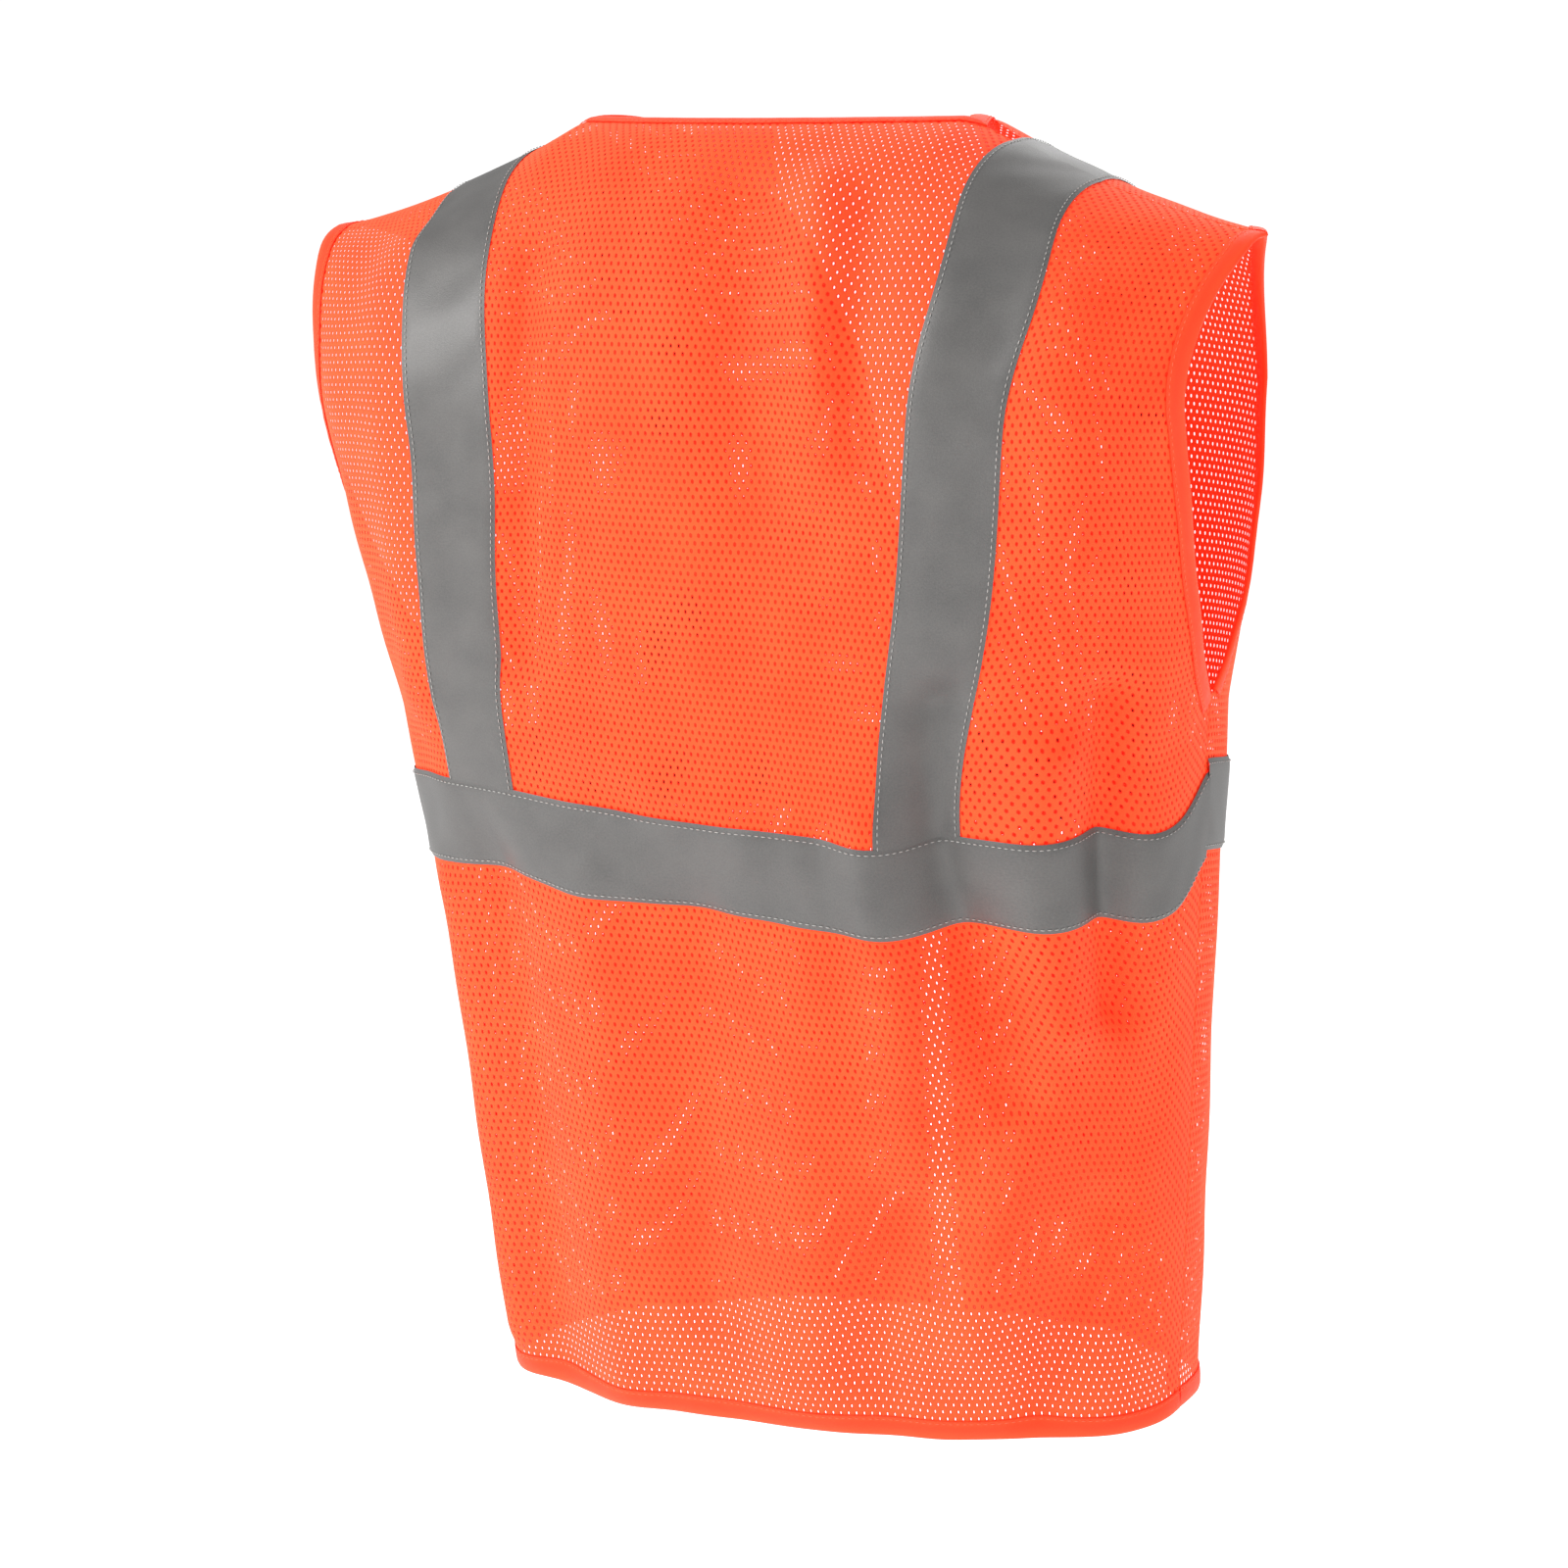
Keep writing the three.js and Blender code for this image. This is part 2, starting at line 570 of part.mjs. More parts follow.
// The slider rides on the left half: two plates joined by a web between the rows of teeth, and a bridge
// for the tab on the outer plate.
function addSlider() {
  const [toothFront, toothBack] = toothFaces();
  const clear = 0.35;
  const middleX = zipper.toothTip - clear - slider.web / 2;
  const middleY = (toothFront + toothBack) / 2;
  const gap = (toothBack - toothFront) / 2 + clear;
  const deep = gap + slider.plate;
  const half = slider.width / 2;
  const webHalf = slider.web / 2;
  const section = new THREE.Shape([
    new THREE.Vector2(-half, -deep),
    new THREE.Vector2(half, -deep),
    new THREE.Vector2(half, -gap),
    new THREE.Vector2(webHalf, -gap),
    new THREE.Vector2(webHalf, gap),
    new THREE.Vector2(half, gap),
    new THREE.Vector2(half, deep),
    new THREE.Vector2(-half, deep),
    new THREE.Vector2(-half, gap),
    new THREE.Vector2(-webHalf, gap),
    new THREE.Vector2(-webHalf, -gap),
    new THREE.Vector2(-half, -gap),
  ]);
  const plates = new THREE.ExtrudeGeometry(section, { depth: slider.length, bevelEnabled: false });
  const arch = slider.bridgeHeight;
  const foot = 0.4; // how far the bridge runs into the plate
  const wall = 1.1;
  const bridge = new THREE.Shape([
    new THREE.Vector2(1, foot),
    new THREE.Vector2(1, -arch),
    new THREE.Vector2(slider.length - 1, -arch),
    new THREE.Vector2(slider.length - 1, foot),
    new THREE.Vector2(slider.length - 1 - wall, foot),
    new THREE.Vector2(slider.length - 1 - wall, wall - arch),
    new THREE.Vector2(1 + wall, wall - arch),
    new THREE.Vector2(1 + wall, foot),
  ]);
  // Drawn with its length along X, then stood up so that its length runs up Z.
  const standing = new THREE.Matrix4().makeBasis(
    new THREE.Vector3(0, 0, 1),
    new THREE.Vector3(0, 1, 0),
    new THREE.Vector3(-1, 0, 0),
  );
  const bridgeSize = { depth: slider.bridgeWidth, bevelEnabled: false };
  const bridgeGeometry = new THREE.ExtrudeGeometry(bridge, bridgeSize);
  bridgeGeometry.translate(0, 0, -slider.bridgeWidth / 2).applyMatrix4(standing).translate(0, -deep, 0);
  const mesh = addPiece("zipper_slider", joined([plates, bridgeGeometry]), "metal");
  mesh.position.set(middleX, middleY, zipper.bottom + 1);
  const barHeight = slider.length - 1 - wall - tab.barRoom - tab.bar / 2;
  addTab(middleX, middleY - deep - (arch - wall) / 2, zipper.bottom + 1 + barHeight, barHeight - 1);
}

// The pull tab hangs by the bar at its top, which lies in the slider's bridge. Its eye is long enough for
// the bridge's lower foot, which is footDrop below the bar.
function addTab(x, y, z, footDrop) {
  const half = tab.width / 2;
  const tip = half * 0.75;
  const outline = new THREE.Shape();
  outline.moveTo(-half, tab.bar / 2).lineTo(-tip, -tab.length + tip);
  outline.absarc(0, -tab.length + tip, tip, Math.PI, 2 * Math.PI, false);
  outline.lineTo(half, tab.bar / 2);
  const eye = new THREE.Path().moveTo(-tab.eye / 2, -tab.bar / 2).lineTo(tab.eye / 2, -tab.bar / 2);
  eye.lineTo(tab.eye / 2, -footDrop - tab.barRoom).lineTo(-tab.eye / 2, -footDrop - tab.barRoom);
  outline.holes.push(eye);
  const plateSize = { depth: tab.thickness, bevelEnabled: false, curveSegments: 6 };
  const plate = new THREE.ExtrudeGeometry(outline, plateSize);
  plate.translate(0, 0, -tab.thickness / 2).rotateX(Math.PI / 2);
  const mesh = addPiece("zipper_pull_tab", plate, "metal");
  mesh.position.set(x, y, z);
}

// A solid of three.js geometries that run into each other.
function joined(geometries) {
  const solids = geometries.map((geometry) => {
    const plain = geometry.clone();
    plain.deleteAttribute("normal");
    plain.deleteAttribute("uv");
    const merged = mergeVertices(plain, 1e-4);
    const vertProperties = merged.attributes.position.array;
    const triVerts = new Uint32Array(merged.index.array);
    return new wasm.Manifold(new wasm.Mesh({ numProp: 3, vertProperties, triVerts }));
  });
  const mesh = solids.reduce((a, b) => a.add(b)).getMesh();
  const geometry = new THREE.BufferGeometry();
  geometry.setAttribute("position", new THREE.BufferAttribute(mesh.vertProperties, 3));
  return geometry.setIndex(new THREE.BufferAttribute(mesh.triVerts, 1));
}

// A plain flat label, sewn by its top edge under the back neck so that it hangs inside.
function addLabel() {
  const half = label.width / 2;
  const seam = offsetPoint("back", half, label.level, -halfCloth);
  const top = seam.z - cloth.layerGap;
  addBox("neck_label", "label", [-half, seam.y, top - label.height], [half, seam.y + label.thickness, top]);
}

addPanels();
addBindings();
addBands();
addSeamAllowances();
addPockets();
addZipperHalves();
addZipperFoot();
addSlider();
addLabel();

export default vest;
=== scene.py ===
import math

import bpy
import numpy as np
from mathutils import Matrix, Vector


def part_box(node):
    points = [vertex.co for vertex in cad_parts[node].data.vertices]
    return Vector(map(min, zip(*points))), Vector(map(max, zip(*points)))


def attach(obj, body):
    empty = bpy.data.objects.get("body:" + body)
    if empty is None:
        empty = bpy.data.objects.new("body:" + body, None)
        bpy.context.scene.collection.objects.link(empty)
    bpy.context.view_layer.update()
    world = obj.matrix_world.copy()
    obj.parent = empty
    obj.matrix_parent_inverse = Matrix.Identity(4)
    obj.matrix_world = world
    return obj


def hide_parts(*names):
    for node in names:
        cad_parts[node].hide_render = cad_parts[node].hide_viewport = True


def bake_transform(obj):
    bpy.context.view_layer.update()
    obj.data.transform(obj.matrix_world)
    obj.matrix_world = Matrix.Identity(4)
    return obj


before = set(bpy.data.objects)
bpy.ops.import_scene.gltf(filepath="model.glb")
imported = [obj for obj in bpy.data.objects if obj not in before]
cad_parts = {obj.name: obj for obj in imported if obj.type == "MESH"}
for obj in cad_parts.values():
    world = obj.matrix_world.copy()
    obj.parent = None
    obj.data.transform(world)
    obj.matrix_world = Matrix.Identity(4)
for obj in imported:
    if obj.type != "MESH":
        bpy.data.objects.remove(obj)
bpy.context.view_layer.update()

# Cloth is worked in flat millimetres: across the panel from its middle, and up its threads from the hem.
# The origin of the model lies between the neck points, this far from the middle of the hem.
hemToOrigin = np.array([0, -14, -710])

garment = {
    "hemHalfWidth": 201,
    "underarmHalfWidth": 232,
    "underarmHeight": 380,
    "tipHalfWidth": 284,
    "tipHeight": 648,
    "neckHalfWidth": 112,
    "neckHeight": 710,
    "shoulderHollow": 7,
    "shoulderDepth": 14,
    "backNeckReach": 42,
    "backNeckRise": 3,
    "curveStart": 560,
    "backHemDepth": 90,
    "backDepth": 150,
    "bladeHeight": 470,
    "frontDepth": 140,
    "hemSquareness": 2.3,
    "squareness": {"back": 3.2, "front": 2.4},
    "armholeWidth": {"back": 264, "front": 238},
    "zipperTop": 452,
    "panelEdge": 11,
    "turnedUnder": 8,  # width of a front's edge that is folded in beside the zipper
    "tipRound": 8,  # how far the shoulder's outer corner is rounded off
    "tipSpread": 0.2,
}
shoulderReach = garment["tipHalfWidth"] + 4
neckReach = garment["neckHalfWidth"] * shoulderReach / garment["tipHalfWidth"]
underarmLevel = garment["underarmHeight"] / garment["curveStart"]

# Where the hanging cloth stands out from its plain shape: a ridge, or a hollow where its height is negative.
# Each row is its start and end on the flat cloth, its width and its height.
folds = {
    "back": [
        ((-66, 700), (-80, 590), 16, 8),
        ((-92, 690), (-100, 560), 15, -8),
        ((-30, 690), (-48, 520), 22, -7),
        ((40, 640), (10, 420), 55, 6),
        ((100, 660), (104, 430), 15, -8),
        ((190, 660), (185, 400), 24, 6),
        ((-200, 640), (-215, 500), 22, 7),
        ((-105, 350), (-105, 160), 20, 10),
        ((-150, 420), (-160, 200), 18, -13),
        ((-200, 390), (-190, 240), 17, 14),
        ((-235, 420), (-222, 250), 13, -13),
        ((-175, 215), (-120, 60), 20, 8),
        ((-120, 190), (-60, 40), 20, -8),
        ((-60, 280), (-20, 30), 24, 7),
        ((10, 290), (30, 60), 22, -7),
        ((75, 300), (90, 20), 26, 7),
        ((140, 300), (150, 20), 22, -8),
        ((190, 280), (185, 30), 18, 7),
        ((-200, 130), (-150, 20), 15, -7),
        ((60, 380), (-60, 330), 18, 4),
    ],
    "front": [
        ((70, 640), (110, 480), 22, 7),
        ((-80, 640), (-120, 470), 24, 7),
        ((150, 560), (120, 380), 16, -7),
        ((-150, 560), (-130, 400), 16, -7),
        ((90, 280), (80, 20), 26, 6),
        ((-100, 290), (-110, 20), 26, 6),
        ((165, 260), (150, 10), 22, -7),
        ((-165, 250), (-150, 10), 22, -7),
    ],
}

# Where the cloth has slipped sideways on the wearer, in millimetres across.
slips = {
    "back": [
        {"middle": (-135, 350), "spread": (85, 110), "across": 17},
        {"middle": (-175, 345), "spread": (34, 80), "across": 9},
        {"middle": (-165, 640), "spread": (70, 55), "across": -10},
        {"middle": (150, 350), "spread": (60, 70), "across": 6},
        {"middle": (150, 560), "spread": (60, 90), "across": -15},
        {"middle": (150, 745), "spread": (60, 50), "across": 7},
    ],
    "front": [],
}

# The sides ride up at the waist. Each place is a share of the way from the middle of the back to a side
# seam, the wearer's right negative, and how far the cloth is lifted there.
hitch = {
    "back": [
        (-1, 23), (-0.95, 12), (-0.9, 1), (-0.82, -2), (-0.7, 5), (-0.6, 8), (-0.4, 1),
        (-0.12, 7), (0.1, 11), (0.29, 16), (0.4, 19), (0.6, 19), (0.8, 15), (1, 14),
    ],
    "front": [(-1, 23), (-0.85, 14), (-0.6, 3), (-0.4, 0), (0.4, 0), (0.6, 3), (0.85, 9), (1, 14)],
    "waist": 330,  # height of the most lift, which fades out this far above and below it
    "above": 190,
    "below": 230,
}


def mix(a, b, share):
    return a + (b - a) * share


def smoothStep(value, low, high):
    share = np.clip((value - low) / (high - low), 0, 1)
    return share * share * (3 - 2 * share)


def sideHalfWidth(height):
    g = garment
    if height < g["underarmHeight"]:
        return mix(g["hemHalfWidth"], g["underarmHalfWidth"], height / g["underarmHeight"])
    rise = (height - g["underarmHeight"]) / (g["tipHeight"] - g["underarmHeight"])
    return mix(g["underarmHalfWidth"], g["tipHalfWidth"], rise)


def quarterOutline(panel, height):
    g = garment
    depth = g["frontDepth"]
    if panel == "back":
        rise = min(height / g["bladeHeight"], 1)
        depth = mix(g["backHemDepth"], g["backDepth"], math.sin(rise * math.pi / 2))
    rise = smoothStep(height, g["underarmHeight"] / 2, g["curveStart"])
    power = 2 / mix(g["hemSquareness"], g["squareness"][panel], rise)
    angle = np.linspace(0, math.pi / 2, 91)
    x = sideHalfWidth(height) * np.sin(angle) ** power
    y = depth * np.clip(np.cos(angle), 0, 1) ** power
    length = np.concatenate([[0], np.cumsum(np.hypot(np.diff(x), np.diff(y)))])
    return x, y, length


def outlinePoints(panel, height, across):
    x, y, length = quarterOutline(panel, height)
    want = np.abs(across)
    past = np.maximum(want - length[-1], 0)  # beyond the side seam the outline runs straight on
    step = length[-1] - length[-2]
    px = np.interp(want, length, x) + past * (x[-1] - x[-2]) / step
    py = np.interp(want, length, y) + past * (y[-1] - y[-2]) / step
    return np.sign(across) * px, py


def threadTop(panel, across):
    g = garment
    x = across * g["tipHalfWidth"] / shoulderReach
    share = (np.abs(x) - g["neckHalfWidth"]) / (g["tipHalfWidth"] - g["neckHalfWidth"])
    seam = mix(g["neckHeight"], g["tipHeight"], share) - g["shoulderHollow"] * 4 * share * (1 - share)
    inward = np.clip(1 - (x / g["neckHalfWidth"]) ** 2, 0, 1)
    neck = g["neckHeight"] + (g["backNeckRise"] * inward if panel == "back" else 0)
    y = g["shoulderDepth"] + (g["backNeckReach"] * inward if panel == "back" else 0 * inward)
    return x, y, np.where(share >= 0, seam, neck)


def slipAt(panel, across, up):
    total = np.zeros_like(across)
    for slip in slips[panel]:
        du = (across - slip["middle"][0]) / slip["spread"][0]
        dv = (up - slip["middle"][1]) / slip["spread"][1]
        total = total + slip["across"] * np.exp(-(du * du + dv * dv))
    return total


def foldHeight(panel, across, up):
    total = np.zeros_like(across)
    for start, end, width, height in folds[panel]:
        start, end = np.array(start, float), np.array(end, float)
        run = end - start
        share = np.clip(((across - start[0]) * run[0] + (up - start[1]) * run[1]) / (run @ run), 0, 1)
        away = np.hypot(across - start[0] - share * run[0], up - start[1] - share * run[1])
        total = total + height * np.exp(-((away / width) ** 2))
    return total


# How far the cloth is lifted straight up, from the share of the way to the side seam and the height.
def hitchAt(panel, share, up):
    places = np.array(hitch[panel], float)
    fine = np.linspace(-1.2, 1.2, 481)
    rough = np.pad(np.interp(fine, places[:, 0], places[:, 1]), 16, "edge")
    soft = np.exp(-((np.arange(-16, 17) / 7.0) ** 2))
    smooth = np.convolve(rough, soft / soft.sum(), "valid")
    spread = np.where(up > hitch["waist"], hitch["above"], hitch["below"])
    away = np.abs(up - hitch["waist"]) / spread
    return np.interp(share, fine, smooth) * np.exp(-(away**2))


def surfaceNormals(panel, points):
    side = np.gradient(points, axis=1)
    rise = np.gradient(points, axis=0)
    normal = np.cross(side, rise)
    if panel == "back":
        normal = -normal
    return normal / np.linalg.norm(normal, axis=2, keepdims=True)


# A table of where each place of the flat cloth hangs: rows go up the threads, columns across them. Levels
# run from 0 at the hem to 1 where the cloth starts to bend over the shoulder, and to 2 at its top edge.
hang = {
    "step": 2.5,
    "reach": 350,
    "below": [-0.02, -0.01],  # levels under the hem, for the binding that folds round it
    "rows": 181,
    "rowsOver": 81,
    "overShoulder": 200,  # height that slips count for the bend over the shoulder
    "seamFade": 60,  # the seams hold the cloth, so folds die out over this distance from the top seam,
    "sideFade": (-5, 45),  # between these from a side seam,
    "zipperFade": (14, 60),  # and between these beside the zipper
    "ripple": 0.7,
}


def hangCloth(panel):
    outward = 1 if panel == "back" else -1
    over = np.linspace(1, 2, hang["rowsOver"])[1:]
    levels = np.concatenate([hang["below"], np.linspace(0, 1, hang["rows"]), over])
    across = np.arange(-hang["reach"], hang["reach"] + hang["step"], hang["step"])
    points = np.zeros((len(levels), len(across), 3))
    for row, level in enumerate(levels):
        height = min(level, 1) * garment["curveStart"]
        beyond = max(level - 1, 0)
        moved = across + slipAt(panel, across, height + hang["overShoulder"] * beyond)
        x, y = outlinePoints(panel, height, moved)
        y = outward * y
        z = np.full_like(x, height)
        if beyond:
            lift, turn = math.sin(beyond * math.pi / 2), math.cos(beyond * math.pi / 2)
            topX, topY, topZ = threadTop(panel, moved)
            x, y, z = mix(x, topX, lift), mix(topY, y, turn), mix(z, topZ, lift)
        points[row] = np.stack([x, y, z], 1)
    steps = np.linalg.norm(np.diff(points, axis=0), axis=2)
    lengths = np.concatenate([np.zeros((1, len(across))), np.cumsum(steps, axis=0)])
    lengths = lengths - lengths[len(hang["below"])]
    spread = np.broadcast_to(across, lengths.shape)
    fromSeam = smoothStep(lengths[-1] - lengths, 0, hang["seamFade"])
    reach = np.array([quarterOutline(panel, min(v, 1) * garment["curveStart"])[2][-1] for v in levels])
    fromSide = smoothStep(reach[:, None] - np.abs(spread), *hang["sideFade"])
    hold = fromSeam * fromSide
    if panel == "front":
        low, high = hang["zipperFade"]
        hold = hold * smoothStep(np.abs(spread), garment["panelEdge"] + low, high)
    ripple = hang["ripple"] * np.sin(spread / 9.1 + lengths / 31) * np.sin(lengths / 23 - spread / 47)
    normals = surfaceNormals(panel, points)
    points = points + normals * (hold * (foldHeight(panel, spread, lengths) + ripple))[..., None]
    points[..., 2] += hitchAt(panel, spread / reach[:, None], lengths)
    normals = surfaceNormals(panel, points)
    return {"across": across, "levels": levels, "lengths": lengths, "points": points, "normals": normals}


hung = {panel: hangCloth(panel) for panel in ("back", "front")}


def threadRows(lengths, up):
    rows = np.interp(up, lengths, np.arange(len(lengths)))
    rows = rows + np.maximum(up - lengths[-1], 0) / (lengths[-1] - lengths[-2])
    return rows + np.minimum(up - lengths[0], 0) / (lengths[1] - lengths[0])


# Flat places and their lifts off the cloth, in millimetres, to points of the model in metres.
def place(panel, across, up, lift=0.0):
    table = hung[panel]
    across, up = np.asarray(across, float).ravel(), np.asarray(up, float).ravel()
    lift = np.broadcast_to(np.asarray(lift, float).ravel(), across.shape)
    columns = (across - table["across"][0]) / hang["step"]
    column = np.clip(np.floor(columns).astype(int), 0, len(table["across"]) - 2)
    share = columns - column
    rows = np.zeros_like(across)
    for one in np.unique(column):
        mine = column == one
        low = threadRows(table["lengths"][:, one], up[mine])
        high = threadRows(table["lengths"][:, one + 1], up[mine])
        rows[mine] = mix(low, high, share[mine])
    row = np.clip(np.floor(rows).astype(int), 0, len(table["levels"]) - 2)
    rise, share = (rows - row)[:, None], share[:, None]

    def sampled(grid):
        low = mix(grid[row, column], grid[row, column + 1], share)
        high = mix(grid[row + 1, column], grid[row + 1, column + 1], share)
        return mix(low, high, rise)

    normal = sampled(table["normals"])
    normal = normal / np.linalg.norm(normal, axis=1, keepdims=True)
    return (sampled(table["points"]) + normal * lift[:, None] + hemToOrigin) / 1000


def topOf(panel, across):
    return np.interp(across, hung[panel]["across"], hung[panel]["lengths"][-1])


def upAt(panel, across, level):
    table = hung[panel]
    row = np.interp(level, table["levels"], np.arange(len(table["levels"])))
    low = int(min(row, len(table["levels"]) - 2))
    lengths = mix(table["lengths"][low], table["lengths"][low + 1], row - low)
    return np.interp(across, table["across"], lengths)


def edgeReach(panel, level):
    sideAt = lambda height: quarterOutline(panel, height)[2][-1]
    if level <= underarmLevel:
        return sideAt(level * garment["curveStart"])
    rise = (level - underarmLevel) / (2 - underarmLevel)
    narrowest = garment["armholeWidth"][panel]
    scoop = (sideAt(garment["underarmHeight"]) - narrowest) * (1 - rise) ** 6
    corner = garment["tipRound"] * math.exp(-(((2 - level) / garment["tipSpread"]) ** 2))
    return narrowest + scoop + (shoulderReach - narrowest) * rise**2 - corner


def openingReach(level):
    start = garment["zipperTop"] / garment["curveStart"]
    rise = max(level - start, 0) / (2 - start)
    return mix(garment["panelEdge"], neckReach, rise**0.9)


# The cut edges of a panel as flat paths, going up: its side and armhole, and a front's opening.
edgeLevels = np.linspace(0, 2, 161)


def flatEdge(panel, across):
    return np.array(across), np.array([upAt(panel, a, level) for a, level in zip(across, edgeLevels)])


sideEdges = {panel: flatEdge(panel, [edgeReach(panel, level) for level in edgeLevels]) for panel in hung}
openingEdge = flatEdge("front", [openingReach(level) for level in edgeLevels])
print("cloth hung")


def toLinear(code):
    channels = [int(code[i : i + 2], 16) / 255 for i in (0, 2, 4)]
    return [c / 12.92 if c <= 0.04045 else ((c + 0.055) / 1.055) ** 2.4 for c in channels] + [1]


def addNode(tree, kind, values=None, links=None, **settings):
    node = tree.nodes.new(kind)
    for key, value in settings.items():
        setattr(node, key, value)
    for key, value in (values or {}).items():
        node.inputs[key].default_value = value
    for key, source in (links or {}).items():
        tree.links.new(source, node.inputs[key])
    return node


def startMaterial(name):
    material = bpy.data.materials.new(name)
    material.use_nodes = True
    tree = material.node_tree
    tree.nodes.clear()
    return material, tree


def finishMaterial(tree, values, links):
    shader = addNode(tree, "ShaderNodeBsdfPrincipled", values, links)
    addNode(tree, "ShaderNodeOutputMaterial", links={"Surface": shader.outputs[0]})


# Fluorescent polyester warp knit: a painted red-orange glow stands in for the dye's fluorescence and shows
# even in shade, the eyelet walls get painted shade, the filament yarn has a soft sheen and each wale shows
# as a faint vertical rib between the eyelets.
knitFinish = {
    "light": "FF622E",
    "deep": "FF4C20",
    "rimShade": "D81C08",  # painted shade for the wall of an eyelet
    # painted glow: emission that stands in for the dye's fluorescence, bright even where the knit is in
    # shade
    "paintedGlow": "FF1000",
    "paintedGlowStrength": 0.4,
    "waleSpacing": 1.07,  # a quarter of the eyelet pitch
    "blotch": 45,
}


def fluorescentKnit():
    f = knitFinish
    material, tree = startMaterial("fluorescent polyester knit")
    flat = addNode(tree, "ShaderNodeUVMap", uv_map="flat")
    wale = addNode(
        tree,
        "ShaderNodeTexWave",
        {"Scale": 1000 / f["waleSpacing"] / 20, "Distortion": 1.2, "Detail": 2, "Detail Scale": 3},
        {"Vector": flat.outputs[0]},
        bands_direction="X",
    )
    grain = {"Scale": 1800, "Detail": 3, "Roughness": 0.6}
    yarn = addNode(tree, "ShaderNodeTexNoise", grain, {"Vector": flat.outputs[0]})
    both = {2: wale.outputs["Fac"], 3: yarn.outputs["Fac"]}
    relief = addNode(tree, "ShaderNodeMix", {0: 0.45}, both, data_type="FLOAT")
    depth = {"Strength": 0.3, "Distance": 0.0004}
    bump = addNode(tree, "ShaderNodeBump", depth, {"Height": relief.outputs[0]})
    cloud = {"Scale": 1000 / f["blotch"], "Detail": 4}
    blotch = addNode(tree, "ShaderNodeTexNoise", cloud, {"Vector": flat.outputs[0]})
    dyed = addNode(
        tree,
        "ShaderNodeMix",
        {6: toLinear(f["deep"]), 7: toLinear(f["light"])},
        {0: blotch.outputs["Fac"]},
        data_type="RGBA",
    )
    # painted shade: the eyelet walls are darkened towards each eyelet's sunk inner ring, standing in for the
    # shade inside the holes
    rimShadeMark = addNode(tree, "ShaderNodeAttribute", attribute_name="rimShade")
    edge = {"From Min": 0.64, "From Max": 0.92}
    rimShade = addNode(tree, "ShaderNodeMapRange", edge, {"Value": rimShadeMark.outputs["Fac"]})
    shaded = addNode(
        tree,
        "ShaderNodeMix",
        {7: toLinear(f["rimShade"])},
        {0: rimShade.outputs[0], 6: dyed.outputs[2]},
        data_type="RGBA",
    )
    rough = {"To Min": 0.66, "To Max": 0.86}
    worn = addNode(tree, "ShaderNodeMapRange", rough, {"Value": yarn.outputs["Fac"]})
    finishMaterial(
        tree,
        {
            # painted glow from the emission
            "Emission Color": toLinear(f["paintedGlow"]),
            "Emission Strength": f["paintedGlowStrength"],
            "Sheen Weight": 0.25,
            "Sheen Roughness": 0.45,
            "Sheen Tint": toLinear("FFB08A"),
            "Specular IOR Level": 0.3,
        },
        {"Base Color": shaded.outputs[2], "Roughness": worn.outputs[0], "Normal": bump.outputs[0]},
    )
    return material


# Knitted fold-over tape, a shade redder than the body: fine ribs run along it, it is a little shinier and a
# painted glow keeps it red-orange even in shade.
bindingFinish = {
    "light": "FF5020",
    "deep": "F23C12",
    # painted glow: emission that stands in for the dye's fluorescence
    "paintedGlow": "FF1000",
    "paintedGlowStrength": 0.36,
    "rib": 0.9,
}


def tricotBinding():
    f = bindingFinish
    material, tree = startMaterial("tricot fold-over binding")
    flat = addNode(tree, "ShaderNodeUVMap", uv_map="flat")
    rib = addNode(
        tree,
        "ShaderNodeTexWave",
        {"Scale": 1000 / f["rib"] / 20, "Distortion": 0.8, "Detail": 1},
        {"Vector": flat.outputs[0]},
        bands_direction="Y",
    )
    grain = {"Scale": 1500, "Detail": 3}
    loops = addNode(tree, "ShaderNodeTexNoise", grain, {"Vector": flat.outputs[0]})
    both = {2: rib.outputs["Fac"], 3: loops.outputs["Fac"]}
    relief = addNode(tree, "ShaderNodeMix", {0: 0.5}, both, data_type="FLOAT")
    depth = {"Strength": 0.35, "Distance": 0.0004}
    bump = addNode(tree, "ShaderNodeBump", depth, {"Height": relief.outputs[0]})
    dyed = addNode(
        tree,
        "ShaderNodeMix",
        {6: toLinear(f["deep"]), 7: toLinear(f["light"])},
        {0: relief.outputs[0]},
        data_type="RGBA",
    )
    finishMaterial(
        tree,
        {
            "Emission Color": toLinear(f["paintedGlow"]),
            "Emission Strength": f["paintedGlowStrength"],
            "Roughness": 0.62,
            "Sheen Weight": 0.12,
            "Sheen Tint": toLinear("FFB08A"),
            "Specular IOR Level": 0.35,
        },
        {"Base Color": dyed.outputs[2], "Normal": bump.outputs[0]},
    )
    return material


# Retroreflective tape: a layer of glass beads on grey cloth, which gives an even silver-grey with a fine
# sparkle. The beads are far finer than the render shows, so they are drawn at about half a millimetre.
tapeFinish = {"light": "747270", "dark": "5C5B5A", "bead": 0.55, "rub": 28}


